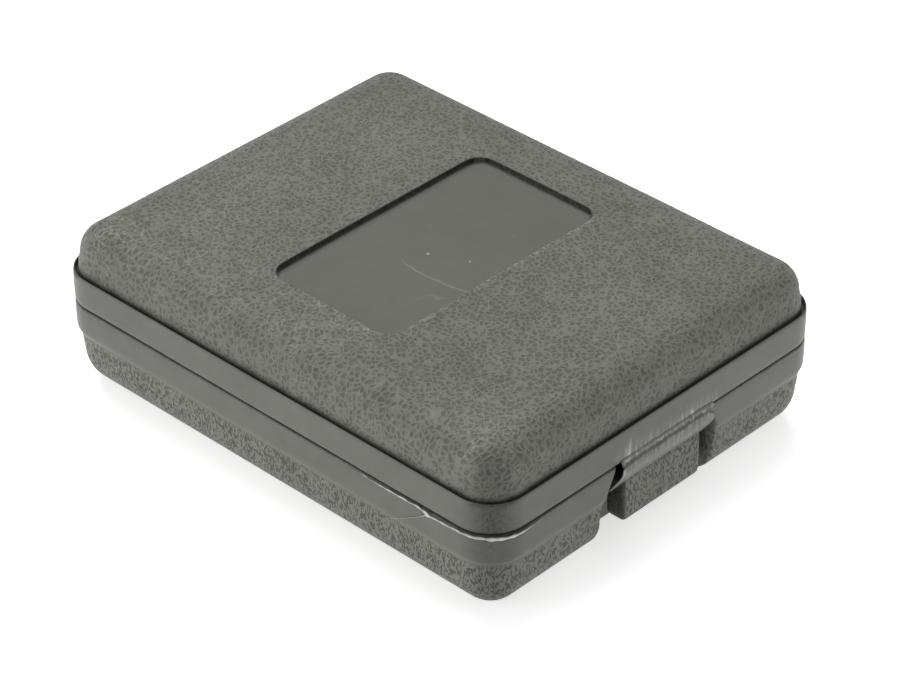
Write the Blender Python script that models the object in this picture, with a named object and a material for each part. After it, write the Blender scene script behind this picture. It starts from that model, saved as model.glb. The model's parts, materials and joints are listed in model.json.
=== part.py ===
"""Quarter-inch-drive socket wrench set in a blow-moulded plastic case.

The case rests on the floor with its latch towards -Y, its hinge at +Y and the origin
under the middle of its base. Both halves are double-skinned mouldings: an outer shell,
an inner skin, and air between them. Every size below is in millimetres.
"""

import math
from collections import namedtuple

import bmesh
import bpy
from mathutils import Vector

MM = 0.001
GAP = 0.3                       # clearance between neighbouring solids
WALL = 1.8                      # outer skin of both mouldings
SKIN = 1.5                      # inner skin, round the pockets

# Case
CASE_W = 145.0                  # along X, the latch side
CASE_D = 183.0                  # along Y, without the latch and the hinge
CASE_H = 56.0
CORNER_R = 12.8
SPLIT_Z = 30.5                  # where lid and base meet
BASE_BAND_Z = 19.9              # lower edge of the base's smooth band
LID_BAND_Z = 41.2               # upper edge of the lid's smooth band
RIM_WIDTH = 7.0
TRAY_Z = 26.0                   # top of the base's inner skin
LID_CEILING_Z = 46.0            # inner skin of the lid
LID_STEP_Z = 38.0               # above this the lid's hollow is narrower
LID_STEP = 4.0
LABEL_W, LABEL_D, LABEL_R = 91.2, 50.6, 6.0
LABEL_DEPTH = 1.2
FRONT_Y = -CASE_D / 2
BACK_Y = CASE_D / 2

# Latch, hung from the lid's front edge, and the bay in the base that it folds into
LATCH_FLANGE_W = 41.6
LATCH_BLOCK_W = 34.0
LATCH_BLOCK_X = 3.0             # the block stands off the flange's middle
LATCH_FACE = 2.6                # block's face, behind the band
LATCH_BOTTOM_Z = 6.5
LATCH_DEPTH = 10.0
LATCH_BAY_DEPTH = 13.0

# Hinge
HINGE_Y = BACK_Y + 4.6
KNUCKLE_R = 4.0
PIN_R = 1.5
HINGE_XS = (-38.0, 38.0)
KNUCKLE_HALF = 4.0              # half length of the lid's knuckle
HINGE_HALF = 12.0               # half length of one whole hinge

# Tools
DRIVE_SIZE = 6.35               # across the flats of the male square
BALL_R = 1.0
SOCKET_LENGTH = 25.0
SOCKET_SIZES = (4, 5, 5.5, 6, 7, 8, 9, 10, 11, 12, 13, 14)
SOCKET_COLUMNS = (30.0, 52.5)
SOCKET_FIRST_Y = 72.0
SOCKET_PITCH = 20.6
SOCKET_FLOOR = 8.5
RATCHET_AT = (-48.0, 60.0, 20.5)
SPINNER_AT = (-20.0, 72.0, 20.5)
EXTENSION_AT = (3.0, 72.5, 20.0)
UNIVERSAL_AT = (3.0, -31.0, 20.0)
TBAR_AT = (0.0, -67.0, 21.0)

RATCHET_HEAD_R = 12.5
RATCHET_TAIL_R = 8.0
PAWL_Y = -13.0                  # pawl and lever pivot, from the drive's axis
GEAR_TEETH = 24
GEAR_TIP_R = 8.7
GEAR_ROOT_R = 7.6

COLOURS = {
    "case_green": ((0.118, 0.120, 0.104), 0.62, 0.0),
    "chrome": ((0.62, 0.62, 0.63), 0.18, 1.0),
    "steel": ((0.42, 0.42, 0.42), 0.35, 1.0),
    "grip_black": ((0.02, 0.02, 0.02), 0.5, 0.0),
}

Pocket = namedtuple("Pocket", "x y w d r floor")


# ---------------------------------------------------------------- outlines

def rounded_rect(w, d, r, z, x=0.0, y=0.0, steps=5):
    """Anticlockwise outline of a rectangle with round corners, at height z."""
    points = []
    for quarter, (sx, sy) in enumerate(((1, 1), (-1, 1), (-1, -1), (1, -1))):
        cx, cy = x + sx * (w / 2 - r), y + sy * (d / 2 - r)
        for step in range(steps + 1):
            angle = math.radians(90 * (quarter + step / steps))
            points.append((cx + r * math.cos(angle), cy + r * math.sin(angle), z))
    return points


def circle(r, z, x=0.0, y=0.0, sides=20):
    """Outline of a regular polygon that stands for a circle."""
    turn = 2 * math.pi / sides
    return [(x + r * math.cos(i * turn), y + r * math.sin(i * turn), z) for i in range(sides)]


def hexagon(across_flats, z):
    """Six-sided outline, measured across its flats."""
    return circle(across_flats / math.sqrt(3), z, sides=6)


def square(side, z):
    half = side / 2
    return [(half, half, z), (-half, half, z), (-half, -half, z), (half, -half, z)]


def box_outline(x0, x1, y0, y1, z):
    return [(x1, y1, z), (x0, y1, z), (x0, y0, z), (x1, y0, z)]


def case_outline(inset, z):
    """The case's plan shape, moved inwards."""
    r = max(CORNER_R - inset, 1.5)
    return rounded_rect(CASE_W - 2 * inset, CASE_D - 2 * inset, r, z)


def pear(z, offset=0.0):
    """Plan shape of the ratchet's head: two circles and their common tangents."""
    lean = math.asin((RATCHET_HEAD_R - RATCHET_TAIL_R) / -PAWL_Y)
    points = []
    for cy, r, first, last, steps in (
            (0.0, RATCHET_HEAD_R + offset, -lean, math.pi + lean, 14),
            (PAWL_Y, RATCHET_TAIL_R + offset, math.pi + lean, 2 * math.pi - lean, 8)):
        for step in range(steps + 1):
            angle = first + (last - first) * step / steps
            points.append((r * math.cos(angle), cy + r * math.sin(angle), z))
    return points


def gear_outline(z):
    """Teeth with flat tips and roots, a root centred on the handle's line."""
    pitch = 2 * math.pi / GEAR_TEETH
    points = []
    for tooth in range(GEAR_TEETH):
        for share, r in ((-0.12, GEAR_ROOT_R), (0.12, GEAR_ROOT_R),
                         (0.38, GEAR_TIP_R), (0.62, GEAR_TIP_R)):
            angle = (tooth + share) * pitch - math.pi / 2
            points.append((r * math.cos(angle), r * math.sin(angle), z))
    return points


# ---------------------------------------------------------------- solids

class Solid:
    """A closed body put together from loops of points given in millimetres."""

    def __init__(self):
        self.bm = bmesh.new()

    def loop(self, points):
        return [self.bm.verts.new(Vector(point) * MM) for point in points]

    def walls(self, *loops):
        """Quads from each loop to the next one, which has as many points."""
        for lower, upper in zip(loops, loops[1:]):
            for i, vert in enumerate(lower):
                j = (i + 1) % len(lower)
                self.bm.faces.new((vert, lower[j], upper[j], upper[i]))

    def cap(self, *loops):
        """A flat face inside one loop, or between two loops in one plane."""
        if len(loops) == 1:
            self.bm.faces.new(loops[0])
            return
        edges = []
        for loop in loops:
            for i, vert in enumerate(loop):
                edges.append(self.bm.edges.get((vert, loop[i - 1])))
        bmesh.ops.triangle_fill(self.bm, use_beauty=True, edges=edges)

    def build(self, name, colour="case_green", at=(0, 0, 0), turn=(0, 0, 0)):
        """Make the object, at a place in millimetres and a turn in degrees."""
        bmesh.ops.recalc_face_normals(self.bm, faces=self.bm.faces)
        mesh = bpy.data.meshes.new(name)
        self.bm.to_mesh(mesh)
        self.bm.free()
        mesh.materials.append(material(colour))
        obj = bpy.data.objects.new(name, mesh)
        bpy.context.scene.collection.objects.link(obj)
        obj.location = Vector(at) * MM
        obj.rotation_euler = [math.radians(angle) for angle in turn]
        shade(mesh)
        return obj


def shade(mesh):
    mesh.shade_smooth()
    mesh.set_sharp_from_angle(angle=math.radians(30))


def material(name):
    if name in bpy.data.materials:
        return bpy.data.materials[name]
    colour, roughness, metallic = COLOURS[name]
    made = bpy.data.materials.new(name)
    made.use_nodes = True
    shader = made.node_tree.nodes["Principled BSDF"]
    shader.inputs["Base Color"].default_value = (*colour, 1.0)
    shader.inputs["Roughness"].default_value = roughness
    shader.inputs["Metallic"].default_value = metallic
    return made


def loft(name, outlines, **place):
    """A solid through outlines with equal numbers of points, closed at both ends."""
    solid = Solid()
    loops = [solid.loop(outline) for outline in outlines]
    solid.walls(*loops)
    solid.cap(loops[0])
    solid.cap(loops[-1])
    return solid.build(name, **place)


def turned(name, profile, sides=20, **place):
    """A solid of revolution about Z from (z, radius) pairs."""
    return loft(name, [circle(r, z, sides=sides) for z, r in profile], **place)


def boolean(target, cutter, operation="DIFFERENCE"):
    """Cut or join a solid, keep the result in the target and drop the cutter."""
    modifier = target.modifiers.new(cutter.name, "BOOLEAN")
    modifier.operation = operation
    modifier.object = cutter
    depsgraph = bpy.context.evaluated_depsgraph_get()
    mesh = bpy.data.meshes.new_from_object(target.evaluated_get(depsgraph))
    target.modifiers.clear()
    target.data = mesh
    bpy.data.objects.remove(cutter)
    shade(mesh)


def join(target, other):
    boolean(target, other, "UNION")


def prism(outline, low, high, **place):
    """A straight prism between two heights on an outline made for any height."""
    return loft("prism", [outline(low), outline(high)], **place)


def rod(radius, x0, x1, y, z, sides=20):
    """A round bar along X."""
    return turned("rod", ((0, radius), (x1 - x0, radius)), sides,
                  at=(x0, y, z), turn=(0, 90, 0))


def drive_square(solid, seat, z0, z1):
    """A male drive square on the round seat loop, with a bevelled end."""
    side, bevel = DRIVE_SIZE, 0.6
    root = solid.loop(square(side, z0))
    neck = solid.loop(square(side, z1 - math.copysign(bevel, z1 - z0)))
    end = solid.loop(square(side - 2 * bevel, z1))
    solid.walls(root, neck, end)
    solid.cap(end)
    solid.cap(seat, root)


def retaining_ball(name, owner, at, side):
    """A ball in a blind hole in one face of a drive square, at a place in the row."""
    x, y, z = at
    bore_r, bore_depth = BALL_R + GAP, 2.3
    hole = turned("hole", ((0, bore_r), (bore_depth + 1, bore_r)), 10)
    hole.rotation_euler = side.to_track_quat("Z", "Y").to_euler()
    face = Vector(at) + side * DRIVE_SIZE / 2
    hole.location = (face - side * bore_depth) * MM
    boolean(owner, hole)
    solid = Solid()
    bmesh.ops.create_icosphere(solid.bm, subdivisions=2, radius=BALL_R * MM)
    solid.build(name, colour="steel", at=face - side * 0.45)


# ---------------------------------------------------------------- case

def socket_diameter(size):
    """Outside of a socket's mouth, and never less than its drive end."""
    return max(11.8, 1.22 * size + 1.9)


def socket_place(index):
    row, column = divmod(index, len(SOCKET_COLUMNS))
    return SOCKET_COLUMNS[column], SOCKET_FIRST_Y - row * SOCKET_PITCH


def pockets():
    """Every hollow of the base's inner skin."""
    x, y, _ = RATCHET_AT
    found = [
        Pocket(x, y, 28.0, 28.0, 13.9, 13.2),                 # ratchet head
        Pocket(x, y - 14.0, 22.6, 23.0, 9.9, 13.2),
        Pocket(x, y, 10.4, 10.4, 5.1, 6.4),                   # its drive square
        Pocket(x, y - 67.2, 15.6, 94.6, 5.0, 12.8),           # its handle
    ]
    x, y, _ = SPINNER_AT
    found += [
        Pocket(x, y - 37.0, 23.2, 76.0, 6.0, 9.0),
        Pocket(x, y - 97.0, 9.6, 58.0, 4.0, 15.4),
    ]
    x, y, _ = EXTENSION_AT
    found += [
        Pocket(x, y - 8.5, 13.2, 19.4, 3.0, 13.4),
        Pocket(x, y - 44.0, 9.6, 64.0, 4.0, 15.2),
    ]
    x, y, _ = UNIVERSAL_AT
    found.append(Pocket(x, y, 30.0, 46.0, 6.0, 13.2))
    x, y, _ = TBAR_AT
    found += [
        Pocket(x, y, 94.0, 16.0, 4.0, 6.6),
        Pocket(x, y, 112.6, 7.2, 3.0, 17.5),
    ]
    for index, size in enumerate(SOCKET_SIZES):
        x, y = socket_place(index)
        width = socket_diameter(size) + 0.9
        found.append(Pocket(x, y, width, width, width / 2 - 0.01, SOCKET_FLOOR))
    return found


def pocket_prism(pocket, grow, top):
    """The pocket's space, or with grow the space it takes with its own skin."""
    def outline(z):
        return rounded_rect(pocket.w + 2 * grow, pocket.d + 2 * grow, pocket.r + grow,
                            z, pocket.x, pocket.y, steps=3)
    return prism(outline, pocket.floor - grow, top)


def latch_bay(grow, low):
    """The bay in the base's front: narrower at the split, open below."""
    def outline(half, z):
        return box_outline(-half - grow, half + grow, FRONT_Y - 2,
                           FRONT_Y + LATCH_BAY_DEPTH + grow, z)
    return loft("bay", [outline(24.2, low), outline(24.7, 18.0),
                        outline(21.4, SPLIT_Z + 1)])


def knuckles(target, spans, low, high):
    """Hinge knuckles on the back band, bored for the pin."""
    for centre in HINGE_XS:
        for x0, x1 in spans:
            join(target, prism(lambda z: box_outline(
                centre + x0, centre + x1, BACK_Y - 1.2, HINGE_Y, z), low, high))
            join(target, rod(KNUCKLE_R, centre + x0, centre + x1, HINGE_Y, SPLIT_Z, 16))
        boolean(target, rod(PIN_R + GAP, centre - HINGE_HALF - 2, centre + HINGE_HALF + 2,
                            HINGE_Y, SPLIT_Z, 12))


def base_shell():
    """The lower moulding: grained body, smooth band, tray skin and hollow rim."""
    top = SPLIT_Z - GAP / 2
    outer = [(11.0, 0.0), (7.0, 0.9), (4.2, 3.3), (3.1, 6.8),
             (1.4, BASE_BAND_Z - 1.4), (0.0, BASE_BAND_Z), (0.0, top - 0.5), (0.4, top)]
    shell = loft("base_shell", [case_outline(inset, z) for inset, z in outer])
    void = loft("void", [case_outline(inset + WALL, z) for inset, z in (
        (8.7, WALL), (3.9, 5.2), (1.4, BASE_BAND_Z), (0.0, BASE_BAND_Z + WALL),
        (0.0, top - WALL))])
    hollows = pockets()
    boolean(void, prism(lambda z: case_outline(RIM_WIDTH - SKIN, z), TRAY_Z - SKIN, top + 1))
    for pocket in hollows:
        boolean(void, pocket_prism(pocket, SKIN, TRAY_Z))
    boolean(void, latch_bay(SKIN, 0.0))
    boolean(shell, prism(lambda z: case_outline(RIM_WIDTH, z), TRAY_Z, top + 1))
    for pocket in hollows:
        boolean(shell, pocket_prism(pocket, 0.0, TRAY_Z + 1))
    join(shell, prism(lambda z: box_outline(                  # wall behind the latch bay
        -28.0, 28.0, FRONT_Y + 3.0, FRONT_Y + LATCH_BAY_DEPTH + SKIN, z), TRAY_Z - 1, top))
    boolean(shell, latch_bay(0.0, -1.0))
    knuckles(shell, ((-HINGE_HALF, -KNUCKLE_HALF - GAP), (KNUCKLE_HALF + GAP, HINGE_HALF)),
             SPLIT_Z - 7.0, SPLIT_Z - GAP)
    boolean(shell, void)
    blow_hole = turned("blow_hole", ((-1.0, 2.2), (WALL + 1.5, 2.2)), 10, at=(60.0, -70.0, 0))
    boolean(shell, blow_hole)
    return shell


def lid_hollow(grow, low):
    """The space under the lid, narrower above its step, with grow its inner skin too."""
    lower, upper = RIM_WIDTH - grow, RIM_WIDTH + LID_STEP - grow
    return loft("hollow", [case_outline(inset, z) for inset, z in (
        (lower, low), (lower, LID_STEP_Z + grow), (upper, LID_STEP_Z + grow),
        (upper, LID_CEILING_Z + grow))])


def lid_shell():
    """The upper moulding: crowned grained top, smooth band, label recess."""
    bottom = SPLIT_Z + GAP / 2
    shoulder_r, side_inset = 9.0, 3.6
    outer = [(0.4, bottom), (0.0, bottom + 0.5), (0.0, LID_BAND_Z - 0.4),
             (0.5, LID_BAND_Z), (2.3, LID_BAND_Z)]
    for degrees in (0, 22.5, 45, 67.5, 90):
        angle = math.radians(degrees)
        outer.append((side_inset + shoulder_r * (1 - math.cos(angle)),
                      CASE_H - shoulder_r * (1 - math.sin(angle))))
    shell = loft("lid_shell", [case_outline(inset, z) for inset, z in outer])
    void = loft("void", [case_outline(inset, z) for inset, z in (
        (WALL, bottom + WALL), (WALL, LID_BAND_Z - WALL), (5.0, LID_BAND_Z),
        (5.6, 46.5), (9.0, CASE_H - 4.0), (14.0, CASE_H - LABEL_DEPTH - WALL))])
    boolean(void, lid_hollow(SKIN, bottom - 1))
    boolean(shell, lid_hollow(0.0, bottom - 1))
    boolean(shell, prism(lambda z: rounded_rect(
        LABEL_W, LABEL_D, LABEL_R, z), CASE_H - LABEL_DEPTH, CASE_H + 1))
    knuckles(shell, ((-KNUCKLE_HALF, KNUCKLE_HALF),), SPLIT_Z + GAP, SPLIT_Z + 7.0)
    boolean(shell, void)
    blow_hole = turned("blow_hole", ((0, 2.2), (4.0, 2.2)), 10,
                       at=(55.0, -70.0, LID_CEILING_Z - 1))
    boolean(shell, blow_hole)
    return shell


def latch():
    """A curved flange under the hinge crease, and below it the grained block."""
    outer = ((0.1, SPLIT_Z - 0.5), (-1.1, 29.2), (-1.2, 27.6), (-0.5, 25.4), (1.4, 22.0),
             (2.9, 19.7), (4.6, 17.6))
    inner = ((6.2, 18.7), (4.6, 20.7), (3.1, 23.0), (1.3, 26.0), (1.1, 28.4),
             (1.7, SPLIT_Z - 0.5))
    half = LATCH_FLANGE_W / 2
    section = [(FRONT_Y + depth, z) for depth, z in outer + inner]
    flange = loft("latch", [[(x, y, z) for y, z in section] for x in (-half, half)])
    block_half = LATCH_BLOCK_W / 2
    face, back = FRONT_Y + LATCH_FACE, FRONT_Y + LATCH_DEPTH
    block = loft("block", [[(x, y, z) for y, z in (
        (face, 20.6), (face, LATCH_BOTTOM_Z + 1.2), (face + 1.2, LATCH_BOTTOM_Z),
        (back - 1.5, LATCH_BOTTOM_Z), (back, LATCH_BOTTOM_Z + 1.5), (back, 18.0),
        (face + 3.2, 22.4))] for x in (LATCH_BLOCK_X - block_half, LATCH_BLOCK_X + block_half)])
    hollow_half = block_half - WALL
    hollow = prism(lambda z: box_outline(LATCH_BLOCK_X - hollow_half, LATCH_BLOCK_X + hollow_half,
                                         face + WALL, back + 1, z), LATCH_BOTTOM_Z + WALL, 17.0)
    boolean(block, hollow)
    join(flange, block)
    return flange


def hinge_pins():
    half = HINGE_HALF - 0.4
    for name, centre in zip(("hinge_pin_left", "hinge_pin_right"), HINGE_XS):
        pin = rod(PIN_R, centre - half, centre + half, HINGE_Y, SPLIT_Z, 12)
        pin.name = name
        pin.data.materials[0] = material("steel")


# ---------------------------------------------------------------- tools

def socket(size, index):
    """A six-point socket standing on its drive end."""
    x, y = socket_place(index)
    drive_r, mouth_r = socket_diameter(size) / 2, 0.61 * size + 1.45
    step_z, hex_floor, drive_depth = 12.0, 12.5, 9.0
    solid = Solid()
    outside = [solid.loop(circle(r, z, sides=16)) for z, r in (
        (0, drive_r - 0.5), (0.5, drive_r), (step_z, drive_r),
        (step_z + 1.5, min(mouth_r, drive_r)), (SOCKET_LENGTH - 0.4, min(mouth_r, drive_r)),
        (SOCKET_LENGTH, min(mouth_r, drive_r) - 0.4))]
    mouth = [solid.loop(hexagon(size + 0.1, z)) for z in (SOCKET_LENGTH, hex_floor)]
    through = [solid.loop(circle(min(0.4 * size, 2.4), z, sides=8))
               for z in (hex_floor, drive_depth)]
    drive = [solid.loop(square(DRIVE_SIZE + 0.15, z)) for z in (drive_depth, 0)]
    for loops in (outside, mouth, through, drive):
        solid.walls(*loops)
    solid.cap(outside[-1], mouth[0])
    solid.cap(mouth[1], through[0])
    solid.cap(through[1], drive[0])
    solid.cap(drive[1], outside[0])
    name = "socket_%04.1fmm" % size
    return solid.build(name.replace(".", "_"), "chrome", at=(x, y, SOCKET_FLOOR + GAP))


def female_end(solid, first_loop):
    """Close the end of a bar with a square recess, 9 mm deep, at z = 0."""
    mouth, floor = (solid.loop(square(DRIVE_SIZE + 0.15, z)) for z in (0, 9.0))
    solid.walls(mouth, floor)
    solid.cap(floor)
    solid.cap(first_loop, mouth)


def extension():
    """A 75 mm extension bar lying along Y, its socket end at the back."""
    x, y, z = EXTENSION_AT
    solid = Solid()
    loops = [solid.loop(circle(r, s, sides=16)) for s, r in (
        (0, 5.5), (0.5, 5.9), (13.5, 5.9), (16.5, 3.75), (62.0, 3.75), (63.0, 4.6),
        (66.5, 4.6))]
    solid.walls(*loops)
    female_end(solid, loops[0])
    drive_square(solid, loops[-1], 66.5, 75.0)
    bar = solid.build("extension_bar", "chrome", at=EXTENSION_AT, turn=(90, 0, 0))
    retaining_ball("extension_ball", bar, (x, y - 71.0, z), Vector((0, 0, 1)))


def spinner():
    """A driver handle: fluted grip with the shank held in its bore."""
    x, y, z = SPINNER_AT
    flutes, flute_depth, sides = 8, 0.9, 32
    solid = Solid()

    def fluted(r, s, share):
        points = []
        for i in range(sides):
            angle = 2 * math.pi * i / sides
            reach = r - share * flute_depth * (1 + math.cos(flutes * angle)) / 2
            points.append((reach * math.cos(angle), reach * math.sin(angle), s))
        return points

    loops = [solid.loop(fluted(r, s, share)) for s, r, share in (
        (0, 7.0, 0), (1.5, 9.6, 0), (5, 10.9, 0), (12, 11.0, 1), (50, 11.0, 1),
        (60, 8.6, 0), (68, 8.8, 0), (73, 7.4, 0))]
    bore = [solid.loop(circle(4.0 + GAP, s, sides=16)) for s in (73, 33)]
    solid.walls(*loops)
    solid.walls(*bore)
    solid.cap(loops[0])
    solid.cap(bore[1])
    solid.cap(loops[-1], bore[0])
    solid.build("spinner_grip", "grip_black", at=SPINNER_AT, turn=(90, 0, 0))

    solid = Solid()
    loops = [solid.loop(circle(r, s, sides=16)) for s, r in (
        (33 + GAP, 3.4), (34, 4.0), (113, 4.0), (114.5, 4.6), (117, 4.6))]
    solid.walls(*loops)
    solid.cap(loops[0])
    drive_square(solid, loops[-1], 117, 125)
    shank = solid.build("spinner_shank", "chrome", at=SPINNER_AT, turn=(90, 0, 0))
    retaining_ball("spinner_ball", shank, (x, y - 121.0, z), Vector((0, 0, 1)))


def ratchet():
    """A pear-headed reversible ratchet lying with its drive square down."""
    x, y, z = RATCHET_AT
    head = loft("ratchet_handle", [pear(-6, -0.8), pear(-5.2), pear(5.2), pear(6, -0.8)],
                colour="chrome", at=RATCHET_AT)
    handle = turned("handle", ((15, 5.6), (26, 4.4), (36, 4.4), (41, 6.6), (104, 6.9),
                               (109, 6.2), (113, 4.0)), 16, at=RATCHET_AT, turn=(90, 0, 0))
    join(head, handle)
    for outline, low, high in (
            (lambda s: circle(9.1, s, sides=24), -7, 3),              # gear
            (lambda s: circle(6.2, s, y=PAWL_Y, sides=16), -7, 3),    # pawl
            (lambda s: pear(s, -1.6), -7, -4.4),                      # cover
            (lambda s: circle(2.1, s, y=PAWL_Y, sides=12), 2, 7)):    # lever shaft
        boolean(head, prism(outline, low, high, at=RATCHET_AT))

    solid = Solid()
    rim = [solid.loop(pear(s, -1.6 - GAP)) for s in (-6, -4.7)]
    hole = [solid.loop(circle(5.6, s)) for s in (-6, -4.7)]
    solid.walls(*rim)
    solid.walls(*hole)
    for edge, inner in zip(rim, hole):
        solid.cap(edge, inner)
    solid.build("ratchet_cover", "steel", at=RATCHET_AT)

    solid = Solid()
    teeth = [solid.loop(gear_outline(s)) for s in (2.7, -4.2)]
    neck = [solid.loop(circle(5.2, s)) for s in (-4.2, -6.6)]
    solid.walls(*teeth)
    solid.walls(*neck)
    solid.cap(teeth[0])
    solid.cap(teeth[1], neck[0])
    drive_square(solid, neck[1], -6.6, -13.6)
    gear = solid.build("drive_gear", "steel", at=RATCHET_AT)
    retaining_ball("ratchet_ball", gear, (x, y, z - 10.4), Vector((0, -1, 0)))

    pivot = (x, y + PAWL_Y, z)
    rocker = [(-110, 3.0), (-60, 3.1), (-38, 4.3), (-24, 4.3), (0, 3.4), (24, 4.3), (38, 4.3),
              (60, 3.1), (110, 3.0), (180, 3.0)]
    lean = 10                                   # the lever stands to one side
    loft("pawl", [[(r * math.sin(math.radians(a + lean)), r * math.cos(math.radians(a + lean)),
                    s) for a, r in rocker] for s in (-4.1, 1.6)], colour="steel", at=pivot)

    solid = Solid()
    shaft = [solid.loop(circle(r, s, sides=12)) for s, r in ((1.6 + GAP, 1.8), (6 + GAP, 1.8))]
    hub = [solid.loop([(px * k, py * k, s) for px, py in lever_outline(lean)])
           for s, k in ((6 + GAP, 1.0), (8.4, 1.0), (9.0, 0.9))]
    solid.walls(*shaft)
    solid.walls(*hub)
    solid.cap(shaft[0])
    solid.cap(shaft[1], hub[0])
    solid.cap(hub[-1])
    solid.build("reverse_lever", "chrome", at=pivot)


def lever_outline(lean):
    """A round hub with a thumb tab that points at the handle, leaning to one side."""
    points = []
    for degrees, r in ((-20, 4.6), (0, 4.4), (20, 4.6), (50, 4.4), (90, 4.2), (135, 4.4),
                       (160, 7.0), (172, 10.0), (188, 10.0), (200, 7.0), (225, 4.4),
                       (270, 4.2), (310, 4.4)):
        angle = math.radians(degrees + lean)
        points.append((r * math.sin(angle), r * math.cos(angle)))
    return points


def universal_joint():
    """Two forked ends and the cross between them, lying along Y."""
    body_r, ear_half, slot_half, slot_depth, ear_end = 6.25, 2.6, 3.6, 8.2, 3.8
    pin_r, length = 1.2, 21.0

    def fork(name, female):
        """A fork with its ears towards +Z, the pivot at z = 0 and ears at +-X."""
        solid = Solid()
        levels = [(-length + (0 if female else 8.0), body_r - 0.5),
                  (-length + (0.5 if female else 8.5), body_r), (ear_end - 1.2, body_r),
                  (ear_end, body_r - 1.2)]
        loops = [solid.loop(circle(r, s)) for s, r in levels]
        solid.walls(*loops)
        solid.cap(loops[-1])
        if female:
            mouth, floor = (solid.loop(square(DRIVE_SIZE + 0.15, s))
                            for s in (-length, -length + 9.0))
            solid.walls(mouth, floor)
            solid.cap(floor)
            solid.cap(loops[0], mouth)
        else:
            drive_square(solid, loops[0], -length + 8.0, -length)
        body = solid.build(name, "chrome")
        reach = body_r + 1
        boolean(body, prism(lambda s: box_outline(-slot_half, slot_half, -reach, reach, s),
                            -slot_depth, reach))
        for side in (-1, 1):
            low, high = sorted((side * ear_half, side * reach))
            boolean(body, prism(lambda s: box_outline(-reach, reach, low, high, s),
                                -slot_depth, reach))
        boolean(body, rod(pin_r + GAP, -reach, reach, 0, 0, 10))
        return body

    socket_fork = fork("universal_socket_fork", True)
    socket_fork.location = Vector(UNIVERSAL_AT) * MM
    socket_fork.rotation_euler = (math.radians(90), 0, 0)
    drive_fork = fork("universal_drive_fork", False)
    drive_fork.location = Vector(UNIVERSAL_AT) * MM
    drive_fork.rotation_euler = (math.radians(-90), math.radians(90), 0)

    cross = prism(lambda s: square(6.2, s), -3.1, 3.1)
    cross.name = "universal_cross"
    join(cross, rod(pin_r, -5.9, 5.9, 0, 0, 10))
    pin = turned("pin", ((-5.9, pin_r), (5.9, pin_r)), 10)
    join(cross, pin)
    cross.data.materials[0] = material("steel")
    cross.location = Vector(UNIVERSAL_AT) * MM


def t_bar():
    """A sliding T-bar: the head with its drive square runs along the rod."""
    x, y, z = TBAR_AT
    rod_r, half = 3.0, 55.0
    turned("t_bar_rod", ((-half, 2.4), (-half + 0.6, rod_r), (half - 0.6, rod_r),
                         (half, 2.4)), 16, colour="chrome", at=TBAR_AT, turn=(0, 90, 0))
    solid = Solid()
    loops = [solid.loop(circle(r, s)) for s, r in ((6.4, 5.7), (5.8, 6.4), (-5.4, 6.4),
                                                   (-6.2, 5.0))]
    solid.walls(*loops)
    solid.cap(loops[0])
    drive_square(solid, loops[-1], -6.2, -13.8)
    head = solid.build("t_bar_head", "chrome", at=TBAR_AT)
    boolean(head, rod(rod_r + GAP, -10, 10, y, z, 16))
    retaining_ball("t_bar_ball", head, (x, y, z - 10.4), Vector((0, -1, 0)))


def main():
    for obj in list(bpy.data.objects):
        bpy.data.objects.remove(obj)
    base_shell()
    lid_shell()
    latch()
    hinge_pins()
    ratchet()
    spinner()
    extension()
    universal_joint()
    t_bar()
    for index, size in enumerate(SOCKET_SIZES):
        socket(size, index)


main()
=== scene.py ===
"""Visual model of a quarter-inch-drive socket wrench set in its moulded case.

Sizes in the code are in millimetres unless a name or a comment says otherwise, in the frame of
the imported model: latch towards -Y, hinge towards +Y, floor at z = 0.
"""

import json
import math
from collections import namedtuple

import bpy
import numpy as np
from bpy.props import FloatProperty, FloatVectorProperty, PointerProperty
from mathutils import Matrix, Vector


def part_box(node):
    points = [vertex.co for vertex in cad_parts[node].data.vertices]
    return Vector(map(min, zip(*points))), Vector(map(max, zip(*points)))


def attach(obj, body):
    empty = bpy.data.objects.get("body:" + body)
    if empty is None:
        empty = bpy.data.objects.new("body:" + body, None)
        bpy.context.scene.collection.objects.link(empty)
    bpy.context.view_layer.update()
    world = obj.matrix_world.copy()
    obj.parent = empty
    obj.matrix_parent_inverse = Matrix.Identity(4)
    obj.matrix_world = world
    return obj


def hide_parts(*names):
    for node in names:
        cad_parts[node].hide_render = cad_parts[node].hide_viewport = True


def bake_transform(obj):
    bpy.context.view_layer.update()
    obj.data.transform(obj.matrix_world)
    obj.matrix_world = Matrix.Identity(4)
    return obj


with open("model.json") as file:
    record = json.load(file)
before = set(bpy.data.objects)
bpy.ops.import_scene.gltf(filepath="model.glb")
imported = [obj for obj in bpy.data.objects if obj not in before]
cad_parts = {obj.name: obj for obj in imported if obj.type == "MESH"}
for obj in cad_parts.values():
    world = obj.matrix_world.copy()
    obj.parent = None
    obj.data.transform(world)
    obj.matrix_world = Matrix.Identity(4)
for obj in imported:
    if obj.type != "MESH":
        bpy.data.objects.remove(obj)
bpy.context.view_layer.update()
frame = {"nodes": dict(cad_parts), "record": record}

bl_info = {
    "name": "Socket set in a moulded case",
    "version": (1, 0, 0),
    "blender": (4, 5, 0),
    "location": "View3D > Sidebar > Socket Set",
    "description": "Builds a latched plastic case with its tray of quarter-inch-drive tools",
    "category": "Object",
}

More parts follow.
